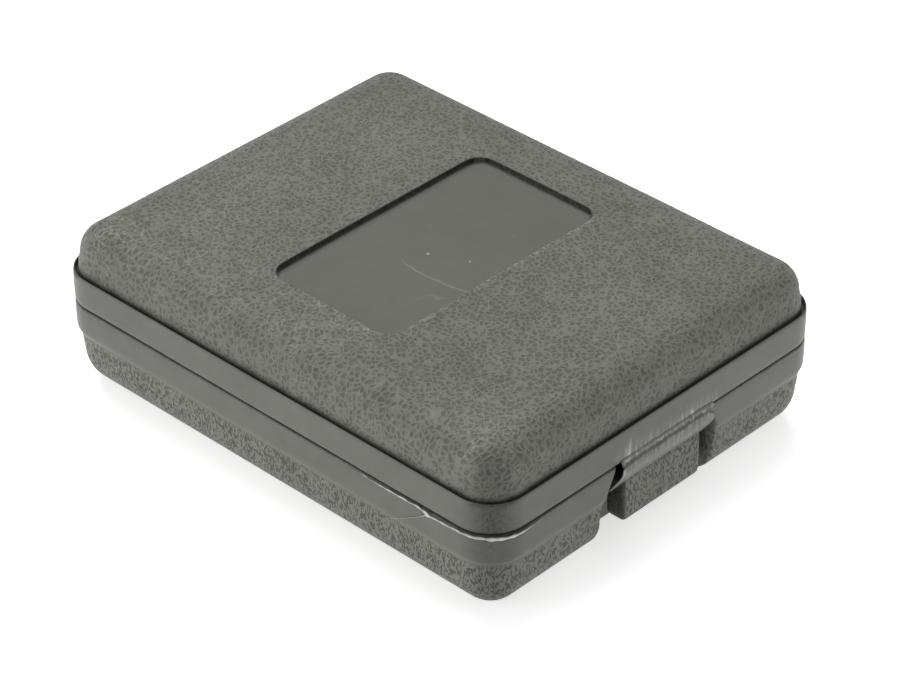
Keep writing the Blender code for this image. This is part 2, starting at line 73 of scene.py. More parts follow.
MM = 0.001
CASE_W, CASE_D, CORNER_R = 145.0, 183.0, 12.8
FRONT_Y, BACK_Y = -CASE_D / 2, CASE_D / 2
SPLIT_Z = 30.5
TRAY_Z = 26.0
SIDE_COUNTS = (60, 80, 14)              # points of an outline: along X, along Y, in a corner
LAYERS = ("grain", "wear", "stress", "dust_and_shade")
# the first of these is the near-black laid on for dust and for painted shade in grooves and
# recesses
GRIME_AND_SHADE, WHITENED, SCRATCHED = (0.006, 0.006, 0.005), (0.46, 0.47, 0.43), (0.42, 0.43, 0.39)
FLASH_DARK, FLASH_LIGHT = (0.30, 0.31, 0.27), (0.60, 0.60, 0.55)
BLACK, WARM_WHITE = (0.0, 0.0, 0.0), (1.0, 1.0, 0.97)
HINGE_Y, HINGE_XS = BACK_Y + 4.6, (-38.0, 38.0)


# ---------------------------------------------------------------- settings

def length(name, description, default):
    """A length in metres, shown in the scene's own unit."""
    return FloatProperty(name=name, description=description, default=default,
                         unit="LENGTH", precision=5)


def colour(name, description, default):
    return FloatVectorProperty(name=name, description=description, default=default,
                               subtype="COLOR", size=3, min=0.0, max=1.0)


def factor(name, description, default):
    return FloatProperty(name=name, description=description, default=default,
                         subtype="FACTOR", min=0.0, max=1.0)


class SocketSetCase(bpy.types.PropertyGroup):
    """Sizes and colours of the case."""
    plastic: colour("Plastic", "Colour of the moulded plastic", (0.118, 0.120, 0.099))
    worn: colour("Worn plastic", "Colour of scuffed and whitened plastic", (0.40, 0.41, 0.37))
    grain_pitch: length("Grain pitch", "Distance between ridges of the moulded grain", 0.0017)
    grain_depth: length("Grain depth", "Height of the ridges over the valleys", 0.00016)
    gloss: factor("Band roughness", "Roughness of the smooth bands", 0.43)
    crown: length("Crown", "Rise of the lid's middle over its shoulder", 0.0007)


class SocketSetTools(bpy.types.PropertyGroup):
    """Colours of the tools."""
    chrome: colour("Chrome", "Colour of the plated steel", (0.63, 0.63, 0.64))
    steel: colour("Steel", "Colour of the bare steel", (0.40, 0.39, 0.38))
    grip: colour("Grip", "Colour of the spinner's grip", (0.020, 0.021, 0.022))


class SocketSetStage(bpy.types.PropertyGroup):
    """Floor, light and camera."""
    floor: colour("Floor", "Colour of the floor", (0.86, 0.86, 0.87))
    lens: FloatProperty(name="Lens", description="Focal length of the camera", default=141.8,
                        unit="CAMERA")
    key: FloatProperty(name="Key light", description="Power of the light on the left",
                       default=9.1, unit="POWER")
    fill: FloatProperty(name="Fill light", description="Power of the light on the right",
                        default=4.3, unit="POWER")
    top: FloatProperty(name="Top light", description="Power of the light overhead",
                       default=15.8, unit="POWER")


# ---------------------------------------------------------------- surfaces

def smoothstep(low, high, x):
    """0 below low, 1 above high and a smooth cubic rise between them."""
    t = np.clip((np.asarray(x, float) - low) / (high - low), 0.0, 1.0)
    return t * t * (3.0 - 2.0 * t)


def hump(x, centre, width):
    """A bell curve of height 1."""
    return np.exp(-((np.asarray(x, float) - centre) / width) ** 2)


def waves(x, y, seed, scale, count=7):
    """A smooth pseudo-random field from -1 to 1: a sum of sines in seeded directions."""
    rng = np.random.default_rng(seed)
    total = np.zeros(np.broadcast(x, y).shape)
    for _ in range(count):
        angle, phase, k = rng.uniform(0, 2 * np.pi, 2).tolist() + [rng.uniform(0.6, 1.7)]
        total += np.sin((x * math.cos(angle) + y * math.sin(angle)) * k * 6.283 / scale + phase)
    return total / count * 1.6


def grid_faces(rows, cols, wrap_cols=True, wrap_rows=False):
    """Quads between neighbouring points of a grid numbered row by row."""
    r = np.arange(rows if wrap_rows else rows - 1)[:, None]
    c = np.arange(cols if wrap_cols else cols - 1)[None, :]
    r1, c1 = (r + 1) % rows, (c + 1) % cols
    return np.stack([r * cols + c, r * cols + c1, r1 * cols + c1, r1 * cols + c],
                    axis=-1).reshape(-1, 4)


def fan(row_start, cols, centre, turn_over):
    """Triangles from a ring of points to one point in its middle."""
    i = np.arange(cols)
    ring = row_start + i
    following = row_start + (i + 1) % cols
    order = (following, ring) if turn_over else (ring, following)
    return np.stack([*order, np.full(cols, centre)], axis=-1)


def solid(name, grid, body, material, wrap_rows=False, layers=None, slot="case",
          stands_for=()):
    """A closed mesh from a rows x columns grid of points in mm whose columns go round.

    The first and last rows are closed by fans to their own middles, unless wrap_rows joins
    them to each other, and the faces are turned outwards by the sign of the volume. layers
    are values per point, stored as attributes.
    """
    rows, cols = grid.shape[:2]
    points = grid.reshape(-1, 3)
    values = {}
    if slot == "case":
        values = {key: np.broadcast_to((layers or {}).get(key, 0.0), (rows, cols)).reshape(-1)
                  for key in LAYERS}
    quads = grid_faces(rows, cols, True, wrap_rows)
    tris = np.zeros((0, 3), int)
    if not wrap_rows:
        middles = np.stack([grid[0].mean(0), grid[-1].mean(0)])
        tris = np.concatenate([fan(0, cols, len(points), True),
                               fan((rows - 1) * cols, cols, len(points) + 1, False)])
        for key, v in values.items():
            ends = [v[:cols].mean(), v[-cols:].mean()]
            values[key] = np.concatenate([v, ends])
        points = np.concatenate([points, middles])
    a = np.concatenate([tris, quads[:, [0, 1, 2]], quads[:, [0, 2, 3]]])
    volume = np.einsum("ij,ij->", points[a[:, 0]],
                       np.cross(points[a[:, 1]], points[a[:, 2]]))
    if volume < 0:
        quads, tris = quads[:, ::-1], tris[:, ::-1]
    mesh = bpy.data.meshes.new(name)
    mesh.from_pydata((points * MM).tolist(), [], quads.tolist() + tris.tolist())
    mesh.shade_smooth()
    for key, v in values.items():
        mesh.attributes.new(key, "FLOAT", "POINT").data.foreach_set("value",
                                                                    v.astype(np.float32))
    mesh.update()
    return place(name, mesh, body, material, stands_for)


def place(name, mesh, body, material, stands_for=()):
    """Put a finished mesh in the scene, on its body, with its finish."""
    obj = bpy.data.objects.new(name, mesh)
    bpy.context.scene.collection.objects.link(obj)
    mesh.materials.clear()
    mesh.materials.append(material)
    if body:
        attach(obj, body)
    if stands_for:
        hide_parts(*stands_for)
    return obj


def round_rect(w, d, r, counts=SIDE_COUNTS):
    """Anticlockwise outline of a rectangle with round corners, from the front's left end.

    Straight runs hold counts[0] points along X and counts[1] along Y, corners counts[2].
    """
    along_x, along_y, bend = counts
    ax, ay = w / 2 - r, d / 2 - r
    pieces = []
    for (nx, ny), count, run in (((0, -1), along_x, (2 * ax, 0)), ((1, 0), along_y, (0, 2 * ay)),
                                 ((0, 1), along_x, (-2 * ax, 0)),
                                 ((-1, 0), along_y, (0, -2 * ay))):
        middle = np.array([(nx - ny) * ax, (nx + ny) * ay])       # of the corner at its end
        end = middle + np.array([nx, ny]) * r
        share = np.arange(count)[:, None] / count
        pieces.append(end - np.array(run) * (1 - share))
        angle = math.atan2(ny, nx) + np.arange(bend) / bend * np.pi / 2
        pieces.append(middle + r * np.stack([np.cos(angle), np.sin(angle)], axis=-1))
    return np.concatenate(pieces)


def with_z(outline, z):
    z = np.broadcast_to(np.asarray(z, float), outline.shape[:1])
    return np.concatenate([outline, z[:, None]], axis=1)


def case_row(inset, z):
    """The case's plan outline moved inwards, at height z."""
    r = max(CORNER_R - inset, 1.2)
    return with_z(round_rect(CASE_W - 2 * inset, CASE_D - 2 * inset, r), z)


# ---------------------------------------------------------------- shader maths

class Sock:
    """An output socket that can be used in an expression with others and with numbers."""

    def __init__(self, tree, socket):
        self.tree, self.socket = tree, socket

    def calc(self, operation, *operands, clamp=False):
        return make(self.tree, "ShaderNodeMath", {"operation": operation, "use_clamp": clamp},
                    dict(enumerate(operands)))["Value"]

    def __add__(self, other):
        return self.calc("ADD", self, other)

    def __radd__(self, other):
        return self.calc("ADD", other, self)

    def __sub__(self, other):
        return self.calc("SUBTRACT", self, other)

    def __rsub__(self, other):
        return self.calc("SUBTRACT", other, self)

    def __mul__(self, other):
        return self.calc("MULTIPLY", self, other)

    def __rmul__(self, other):
        return self.calc("MULTIPLY", other, self)

    def __abs__(self):
        return self.calc("ABSOLUTE", self)

    def power(self, exponent):
        return self.calc("POWER", self, exponent)

    def most(self, other):
        return self.calc("MAXIMUM", self, other)

    def clip(self):
        return self.calc("ADD", self, 0.0, clamp=True)

    def rise(self, low, high):
        """0 below low, 1 above high, smooth between; falls if low is above high."""
        if low > high:
            return 1.0 - self.rise(high, low)
        return make(self.tree, "ShaderNodeMapRange", {"interpolation_type": "SMOOTHSTEP"},
                    {"Value": self, "From Min": low, "From Max": high})["Result"]


class Made:
    """A node whose outputs are read by name."""

    def __init__(self, tree, node):
        self.tree, self.node = tree, node

    def __getitem__(self, name):
        return Sock(self.tree, self.node.outputs[name])


def make(tree, kind, settings=None, values=None):
    """A node of a kind: its settings first, then the values or links of its sockets."""
    node = tree.nodes.new(kind)
    for key, value in (settings or {}).items():
        setattr(node, key, value)
    for key, value in (values or {}).items():
        socket = node.inputs[key]
        if isinstance(value, Sock):
            tree.links.new(value.socket, socket)
        elif socket.type == "RGBA" and len(value) == 3:
            socket.default_value = (*value, 1.0)
        else:
            socket.default_value = value
    return Made(tree, node)


def blend_colour(tree, share, a, b):
    """Mix two colours. A Mix node has sockets of one name for each kind of value, so those of
    the colour kind are found by their place."""
    factor_in, a_in, b_in, colour_out = 0, 6, 7, 2
    made = make(tree, "ShaderNodeMix", {"data_type": "RGBA"},
                {factor_in: share, a_in: a, b_in: b})
    return Sock(tree, made.node.outputs[colour_out])


def vector_op(tree, operation, *values):
    return make(tree, "ShaderNodeVectorMath", {"operation": operation},
                dict(enumerate(values)))["Vector"]


def shade_of(tint, share):
    """A colour made darker or lighter."""
    return tuple(c * share for c in tint)


class Finish:
    """A new material with its Principled shader and the coordinates in millimetres.

    fixed are constants for the shader's sockets, with _ for a space in a socket's name.
    """

    def __init__(self, name, **fixed):
        self.material = bpy.data.materials.new(name)
        self.material.use_nodes = True
        self.tree = self.material.node_tree
        self.shader = self.tree.nodes["Principled BSDF"]
        for key, value in fixed.items():
            self.shader.inputs[key.replace("_", " ")].default_value = value
        place_in_metres = make(self.tree, "ShaderNodeTexCoord")["Object"]
        self.mm = vector_op(self.tree, "SCALE", place_in_metres)
        self.mm.socket.node.inputs["Scale"].default_value = 1 / MM
        split = make(self.tree, "ShaderNodeSeparateXYZ", None, {0: self.mm})
        self.x, self.y, self.z = split["X"], split["Y"], split["Z"]

    def noise(self, pitch, detail=2.0, where=None, roughness=0.5, output="Fac"):
        """Noise with features about one pitch apart."""
        return make(self.tree, "ShaderNodeTexNoise", None, {
            "Vector": where or self.mm, "Scale": 1.0 / pitch, "Detail": detail,
            "Roughness": roughness})[output]

    def scaled(self, x, y, z, where=None):
        return vector_op(self.tree, "MULTIPLY", where or self.mm, (x, y, z))

    def moved(self, where, by):
        return vector_op(self.tree, "ADD", where, by)

    def warp(self, amount, pitch, where=None):
        """The coordinates, pushed about by noise."""
        push = vector_op(self.tree, "SUBTRACT",
                         self.noise(pitch, 1.0, where, output="Color"), (0.5, 0.5, 0.5))
        push = vector_op(self.tree, "MULTIPLY", push, (amount, amount, amount))
        return vector_op(self.tree, "ADD", where or self.mm, push)

    def cells(self, pitch, where, feature="DISTANCE_TO_EDGE"):
        """Distance to the nearest edge or point of random cells about one pitch wide."""
        return make(self.tree, "ShaderNodeTexVoronoi", {"feature": feature}, {
            "Vector": where, "Scale": 1.0 / pitch})["Distance"]

    def layer(self, name):
        """A value stored on the mesh's points."""
        return make(self.tree, "ShaderNodeAttribute", {"attribute_name": name})["Fac"]

    def mix(self, share, a, b):
        return blend_colour(self.tree, share, a, b)

    def set(self, **links):
        for key, value in links.items():
            self.tree.links.new(value.socket, self.shader.inputs[key.replace("_", " ")])

    def bump(self, height, distance_mm, strength=1.0):
        return make(self.tree, "ShaderNodeBump", None, {
            "Height": height, "Distance": distance_mm * MM, "Strength": strength})["Normal"]


# ---------------------------------------------------------------- finishes

LABEL_W, LABEL_D, LABEL_R, LABEL_Z = 91.2, 50.6, 6.0, 54.05
LABEL_SPECKS = ((-4.9, -1.3, 0.55), (0.6, -13.4, 0.35))


def case_plastic(name, pits):
    """Grained and smooth moulded plastic.

    Point layers, each 0 to 1: grain is how far the moulded grain shows, wear how scuffed a place
    is, stress where bending has whitened it, and the last one painted shade with a little dust,
    darkening grooves, creases, recesses and the front corner.
    With pits the grain is sparse upright dents, otherwise thin ridges round small pits.
    """
    s = bpy.context.scene.socket_set_case
    f = Finish(name, Specular_IOR_Level=0.36)
    pitch = s.grain_pitch / MM
    grain, wear, stress, dust_and_shade = (f.layer(key) for key in LAYERS)
    if pits:
        where = f.scaled(1.25, 1.25, 0.50, f.warp(1.3, 2.0))
        n = f.noise(pitch * 0.50, 0.0, where)
        m = f.noise(pitch * 0.42, 0.0, f.moved(where, (31.0, 7.0, 13.0)))
        dents = n.rise(0.585, 0.645).most(m.rise(0.615, 0.67))
        height = 1.0 - dents
    else:
        where = f.warp(1.1, 1.6, f.warp(1.9, 4.5))
        edge = f.cells(pitch * 1.12, where)
        worm = abs(f.noise(pitch * 0.85, 0.0, where) - 0.5)
        height = (edge.rise(0.32, 0.03) * 0.85 + worm.rise(0.06, 0.0) * 0.45).clip()
    soft = f.noise(9.0, 3.0)
    broad = f.noise(42.0, 2.0)
    fine = f.noise(0.35, 2.0)
    shown = grain * (0.72 + broad * 0.56).clip()
    relief = height * shown + (0.5 + (fine - 0.5) * 0.08) * (1.0 - shown)

    low, high = (0.42, 1.42) if pits else (0.74, 1.42)
    grained = f.mix(height, shade_of(s.plastic, low), shade_of(s.plastic, high))
    tint = f.mix(shown, shade_of(s.plastic, 0.86), grained)
    cloud = (soft + (broad - 0.5) * 0.9).clip()
    tint = f.mix(cloud, f.mix(0.14, tint, BLACK), f.mix(0.04, tint, WARM_WHITE))
    scuff = f.noise(0.9, 3.0, f.warp(2.4, 3.0), roughness=0.65)
    patchy = f.noise(5.0, 3.0)
    worn = (wear * (0.25 + height * 0.9) * scuff.rise(0.45, 0.66) * patchy.rise(0.36, 0.62)
            * 1.2).clip()
    specks = f.cells(8.0, f.warp(3.0, 5.0), "F1").rise(0.030, 0.017)
    worn = worn.most(specks * (0.25 + grain * 0.25))
    streaks = f.noise(0.9, 3.0, f.scaled(1.0, 1.0, 0.10, f.warp(0.8, 3.0)), roughness=0.6)
    white = (stress * (0.28 + streaks.rise(0.46, 0.68) * 1.1)).clip()
    # painted shade with a little dust from the last layer, mottled by the scuffs, mixed in towards
    # near-black below
    dusty_shade = (dust_and_shade * (0.72 + scuff.rise(0.60, 0.35) * 0.40)).clip()
    tint = f.mix(worn * 0.60, tint, tuple(s.worn))
    tint = f.mix(white, tint, WHITENED)
    tint = f.mix(dusty_shade * 0.86, tint, GRIME_AND_SHADE)
    rough = s.gloss + grain * 0.15 + (soft - 0.5) * 0.12 + worn * 0.1 + dusty_shade * 0.2
    return f, tint, rough, relief, s.grain_depth / MM


def case_finish(name, pits=False):
    f, tint, rough, relief, depth = case_plastic(name, pits)
    f.set(Base_Color=tint, Roughness=rough, Normal=f.bump(relief, depth * 1.6))
    return f.material


def label_finish(name):
    """The label recess's smooth floor: faint brush marks and hairs, one long curved scratch,
    specks, and painted shade at the foot of its two far walls.

    The scratch is the line where x is a parabola of y, swayed by noise, and the two bright
    specks are discs given by their middle and radius.
    """
    s = bpy.context.scene.socket_set_case
    f = Finish(name, Specular_IOR_Level=0.34)
    cloud = f.noise(16.0, 3.0, f.scaled(1.0, 0.6, 1.0))
    strokes = f.noise(2.2, 3.0, f.scaled(0.25, 1.0, 1.0, f.warp(3.0, 20.0)), roughness=0.6)
    fine = f.noise(0.3, 2.0)
    tint = f.mix((0.5 + (cloud - 0.5) * 1.5 + (strokes - 0.5) * 0.5).clip(),
                 shade_of(s.plastic, 0.70), shade_of(s.plastic, 0.95))
    along_y = f.y + 10.0
    bow = f.x + 13.6 - (along_y * 0.13).power(2.0) * 0.55 + along_y * 0.045
    along = f.y.rise(-25.2, -24.2) * f.y.rise(4.6, -3.0)
    scratch = abs(bow + (f.noise(4.0, 2.0) - 0.5) * 1.6).rise(0.42, 0.10) * along
    hairs = abs(f.noise(14.0, 1.0, f.scaled(0.22, 1.0, 1.0, f.warp(5.0, 25.0))) - 0.5)
    hairs = hairs.rise(0.0030, 0.001) * f.noise(7.0, 1.0).rise(0.55, 0.68)
    specks = f.cells(6.5, f.warp(3.0, 5.0), "F1").rise(0.026, 0.014)
    light = ((scratch * 0.26).most(hairs * 0.10).most(specks * 0.30)).clip()
    for x, y, r in LABEL_SPECKS:
        light = light.most(((f.x - x).power(2.0) + (f.y - y).power(2.0)).rise(r * r, r * 0.2) * 0.9)
    # painted shade along the foot of the far long wall and the right short wall
    shade = (f.y.rise(LABEL_D / 2 - 3.2, LABEL_D / 2 - 0.2) * 0.62).most(
        f.x.rise(LABEL_W / 2 - 2.2, LABEL_W / 2 - 0.2) * 0.55)
    tint = f.mix(shade, f.mix(light, tint, SCRATCHED), GRIME_AND_SHADE)
    f.set(Base_Color=tint, Roughness=0.47 + (cloud - 0.5) * 0.2 + light * 0.15,
          Normal=f.bump(strokes * 0.7 + fine * 0.3 - scratch * 0.5, 0.05, 0.5))
    return f.material


def metal_finish(name, tint, roughness, brushed=0.0):
    """Plated or bare steel with faint tool marks, smears and small variations of gloss."""
    f = Finish(name, Metallic=1.0)
    smear = f.noise(7.0, 3.0)
    fine = f.noise(0.5, 2.0, f.scaled(1.0, 0.12, 1.0))
    shade = f.mix(smear * 0.25, tuple(tint), shade_of(tint, 0.82))
    f.set(Base_Color=shade, Roughness=roughness + (smear - 0.5) * 0.12 + fine * brushed,
          Normal=f.bump(fine, 0.01 + brushed * 0.04, 0.4))
    return f.material


def grip_finish(name, tint):
    """Black moulded grip, a little matt, with fine pores."""
    f = Finish(name)
    smear, fine = f.noise(8.0, 3.0), f.noise(0.4, 2.0)
    f.set(Base_Color=f.mix(smear * 0.5, tuple(tint), tuple(c * 1.9 + 0.004 for c in tint)),
          Roughness=0.40 + (smear - 0.5) * 0.2, Normal=f.bump(fine, 0.02, 0.5))
    return f.material


def flash_finish(name):
    """Thin whitish flash squeezed out of the moulding's parting line."""
    f = Finish(name)
    tone, fine = f.noise(4.0, 3.0), f.noise(0.7, 3.0)
    f.set(Base_Color=f.mix(tone.rise(0.3, 0.7), FLASH_DARK, FLASH_LIGHT),
          Roughness=0.55 + (tone - 0.5) * 0.2, Normal=f.bump(fine, 0.05, 0.6))
    return f.material


def finish(name):
    """The named finish, made once."""
    if name in bpy.data.materials:
        return bpy.data.materials[name]
    tools = bpy.context.scene.socket_set_tools
    if name == "lid_plastic":
        return case_finish(name)
    if name == "base_plastic":
        return case_finish(name, pits=True)
    if name == "label_plastic":
        return label_finish(name)
    if name == "flash":
        return flash_finish(name)
    if name == "chrome_plate":
        return metal_finish(name, tools.chrome, 0.16)
    if name == "plain_steel":
        return metal_finish(name, tools.steel, 0.34, brushed=0.15)
    return grip_finish(name, tools.grip)


# ---------------------------------------------------------------- lid

SHOULDER_Z, SHOULDER_RISE, SHOULDER_REACH = 46.8, 8.95, 12.2
LID_TOP_Z = SHOULDER_Z + SHOULDER_RISE
SCUFFS = (      # middle x and y, reach in x and y, amount, lowest z
    (-60, 80, 10, 13, 0.60, 40), (-40, 60, 26, 18, 0.42, 50), (-60, 20, 6, 40, 0.45, 48),
    (-50, -5, 6, 26, 0.45, 50), (-60, -78, 8, 8, 0.75, 40))
CREASE_STREAKS = (      # x, width, height reached and amount of each whitened streak
    (-15.2, 0.8, 38.0, 1.0), (-8.6, 0.7, 34.5, 0.7), (3.3, 0.8, 34.0, 0.8),
    (8.2, 1.2, 33.5, 1.0), (12.1, 1.8, 35.5, 1.0), (17.5, 3.0, 33.0, 0.7))


def lid_top(x, y):
    """Height added to the lid's top: a low crown, sink marks and slow waves."""
    crown = bpy.context.scene.socket_set_case.crown / MM
    dome = np.clip(1 - (x / 63.0) ** 2, 0, 1) * np.clip(1 - (y / 82.0) ** 2, 0, 1)
    sink = 0.22 * hump(x, 60.0, 9.0) * hump(y, -60.0, 16.0) + 0.14 * hump(x, -52, 8) * \
        hump(y, 20.0, 40.0)
    return crown * dome ** 0.7 - sink + 0.10 * waves(x, y, 3, 55.0)


def lid_grid():
    """Points and layers of the lid: from the middle of its ceiling, down the inside, round
    the rim, up the band, groove, side and shoulder, over the top and down to the label floor.

    Each row is the case's outline moved inwards to one place of the profile; over the top the
    rows pass from that outline to the recess's outline in equal steps.
    """
    rows, grain, wear = [], [], []

    def add(points, g=0.0, w=0.0):
        rows.append(points)
        grain.append(np.broadcast_to(np.asarray(g, float), (len(points),)))
        wear.append(np.broadcast_to(np.asarray(w, float), (len(points),)))

    ceiling = case_row(16.0, 46.0)
    for k in (0.03, 0.25, 0.5, 0.75, 0.92):
        add(ceiling * (k, k, 1.0), 0.15)
    for inset, z in ((16.0, 46.0), (14.0, 45.9), (12.7, 45.3), (11.7, 44.2), (11.2, 42.8),
                     (11.0, 41.0), (10.8, 39.5), (10.4, 38.6), (9.6, 38.1), (8.6, 37.9),
                     (7.8, 37.5), (7.3, 36.7), (7.1, 35.5), (7.0, 33.0), (6.9, 31.4),
                     (6.6, 30.9), (6.0, 30.68), (4.0, 30.66), (2.0, 30.66), (0.8, 30.66)):
        add(case_row(inset, z), 0.1)
    for inset, z in ((0.42, 30.7), (0.14, 30.9), (0.0, 31.3), (0.0, 32.6), (-0.03, 34.5),
                     (-0.03, 36.5), (0.0, 38.4), (0.0, 39.8), (0.04, 40.5), (0.14, 40.95),
                     (0.32, 41.2), (0.5, 41.2), (0.62, 40.95), (0.7, 40.4), (0.78, 39.7),
                     (0.95, 39.2), (1.18, 39.1), (1.4, 39.3), (1.52, 39.9), (1.58, 40.8)):
        add(case_row(inset, z), 0.0)
    for inset, z in ((1.64, 41.5), (1.72, 42.4), (1.86, 43.5), (2.1, 44.8), (2.35, 45.9)):
        add(case_row(inset, z), smoothstep(40.8, 41.9, z))
    top, steps = LID_TOP_Z, 18
    for step in range(1, steps + 1):
        a = math.radians(90 * step / steps)
        inset = 2.55 + (SHOULDER_REACH - 2.55) * (1 - math.cos(a))
        add(case_row(inset, SHOULDER_Z + SHOULDER_RISE * math.sin(a)), 1.0,
            0.22 * math.sin(2 * a))
    outer = case_row(SHOULDER_REACH, top)
    inner = with_z(round_rect(LABEL_W + 0.9, LABEL_D + 0.9, LABEL_R + 0.45), top)
    for t in np.linspace(0, 1, 34)[1:]:
        add(outer * (1 - t) + inner * t, 1.0)
    for grow, z in ((0.26, top - 0.02), (0.12, top - 0.08), (0.03, top - 0.22),
                    (0.0, top - 0.45), (-0.03, top - 0.8), (-0.07, LABEL_Z + 0.2),
                    (-0.16, LABEL_Z + 0.06), (-0.34, LABEL_Z), (-0.8, LABEL_Z)):
        add(with_z(round_rect(LABEL_W + 2 * grow, LABEL_D + 2 * grow, LABEL_R + grow), z),
            1.0 if grow > 0.2 else 0.0, 0.35 if grow > 0 else 0.0)
    floor = rows[-1]
    for k in (0.85, 0.7, 0.55, 0.4, 0.25, 0.1, 0.02):
        add(floor * (k, k, 1.0), 0.0)
    return np.array(rows), np.array(grain), np.array(wear)


def lid_mesh():
    """The lid in one closed mesh, with its crown, marks of use, whitened latch crease and painted
    shade in its groove, its recess and down its front corner.
    """
    grid, grain, wear = lid_grid()
    x, y, z = grid[..., 0].copy(), grid[..., 1].copy(), grid[..., 2].copy()
    lift = lid_top(x, y) * smoothstep(51.0, 55.0, z)
    # a parting line that gapes a little towards the front left corner, and a wavy band
    margin = np.minimum(CASE_W / 2 - np.abs(x), CASE_D / 2 - np.abs(y))
    low = smoothstep(36.0, 31.5, z) * smoothstep(7.5, 5.0, margin)
    corner = np.hypot(x + CASE_W / 2, y - FRONT_Y)
    gape = 0.28 * hump(corner, 0.0, 30.0) + 0.06 * waves(x + y, x - y, 11, 60.0)
    band = smoothstep(3.0, 0.5, margin) * smoothstep(30.0, 32.0, z) * smoothstep(42.0, 40.0, z)
    sway = 0.10 * waves(x, y, 5, 70.0) * band
    grid[..., 2] += lift + low * np.maximum(gape, -0.08)
    side_x, side_y = np.abs(x) > CASE_W / 2 - 3.2, np.abs(y) > CASE_D / 2 - 3.2
    grid[..., 0] += np.where(side_x, np.sign(x) * sway, 0)
    grid[..., 1] += np.where(side_y & ~side_x, np.sign(y) * sway, 0)

    outer = z > 40.0
    for at_x, at_y, reach_x, reach_y, amount, lowest in SCUFFS:
        wear = wear + amount * hump(x, at_x, reach_x) * hump(y, at_y, reach_y) * (z > lowest)
    # the recess's two near edges
    wear = wear + 0.95 * hump(y, -LABEL_D / 2 - 0.3, 0.45) * (np.abs(x) < 44) * (z > 54)
    wear = wear + 0.55 * hump(x, -LABEL_W / 2 - 0.8, 1.2) * (np.abs(y) < 24) * (z > 54)
    front_corner = np.hypot(x + CASE_W / 2 - 4.0, y - FRONT_Y - 4.0)
    # painted shade in the groove over the band and, ragged, on the side just above it
    dust_and_shade = 0.95 * hump(z, 40.0, 1.0) * smoothstep(0.5, 0.75, margin) * outer.astype(float)
    dust_and_shade = np.maximum(dust_and_shade, 0.75 * smoothstep(43.4, 41.2, z) * smoothstep(0.8, 1.5, margin)
                      * (z > 39) * (0.6 + 0.4 * waves(x, y, 17, 9.0)))
    # painted shade: a dark stripe down the front left corner, on the shoulder and on the band
    dust_and_shade = np.maximum(dust_and_shade, 0.42 * hump(front_corner, 0, 7) * (z > 42))
    dust_and_shade = np.maximum(dust_and_shade, 0.80 * hump(x - y, -FRONT_Y - CASE_W / 2, 8.5) * (z < 41)
                      * (front_corner < 14))
    # painted shade on the recess's two far walls
    far_wall = (y > LABEL_D / 2 - 0.7) | (x > LABEL_W / 2 - 0.7)
    in_recess = (np.abs(x) < 46) & (np.abs(y) < 26)
    below_rim = (z > LABEL_Z - 0.05) & (z < LID_TOP_Z - 0.15)
    dust_and_shade = np.maximum(dust_and_shade, 0.95 * (far_wall & in_recess & below_rim))
    outside = (y < FRONT_Y + 0.6) & (z > 30.6)
    rises = sum(a * hump(x, at, w) * smoothstep(up, up - 3.0, z)
                for at, w, up, a in CREASE_STREAKS)
    stress = np.where(outside, np.clip(rises + 0.40 * smoothstep(36.5, 31.0, z), 0, 1)
                      * smoothstep(24.0, 20.5, np.abs(x - 1.5)), 0.0)
    near_rim = hump(y, -LABEL_D / 2 - 0.08, 0.16) * smoothstep(41.0, 37.0, np.abs(x))
    near_rim = near_rim * (z > LABEL_Z + 0.5) * (0.35 + 0.65 * smoothstep(-16.0, -2.0, x))
    stress = np.maximum(stress, near_rim)
    return solid("lid", grid, "lid", finish("lid_plastic"),
                 layers={"grain": grain, "wear": np.clip(wear, 0, 1), "stress": stress,
                         "dust_and_shade": np.clip(dust_and_shade, 0, 1)},
                 stands_for=("lid_shell",))


def label_floor():
    """A thin skin on the recess's floor, with its own finish: outlines shrinking inwards."""
    rows = []
    for k, z in ((0.4, 0.02), (0.75, 0.03), (1.2, 0.03)):
        rows.append(with_z(round_rect(LABEL_W - 2 * k, LABEL_D - 2 * k, LABEL_R - k), LABEL_Z + z))
    last = rows[-1]
    rows += [last * (k, k, 1.0) for k in np.linspace(0.95, 0.05, 20)]
    grid = np.array(rows)
    grid[..., 2] += lid_top(grid[..., 0], grid[..., 1])
    under = grid[::-1] - (0.0, 0.0, 0.25)
    return solid("label_floor", np.concatenate([under, grid]), "lid", finish("label_plastic"))


# ---------------------------------------------------------------- base

BAY_DEPTH, BAY_FOOT = 13.0, 24.6        # the latch bay, and half its width at the floor
EDGE_INSET, EDGE_REACH, EDGE_Z = 2.0, 10.8, 12.0     # rounding of the base's lower edge
BASE_COUNTS = (22, 5, 7, 5, 30)         # front run: side part, fillet, side wall, fillet, back


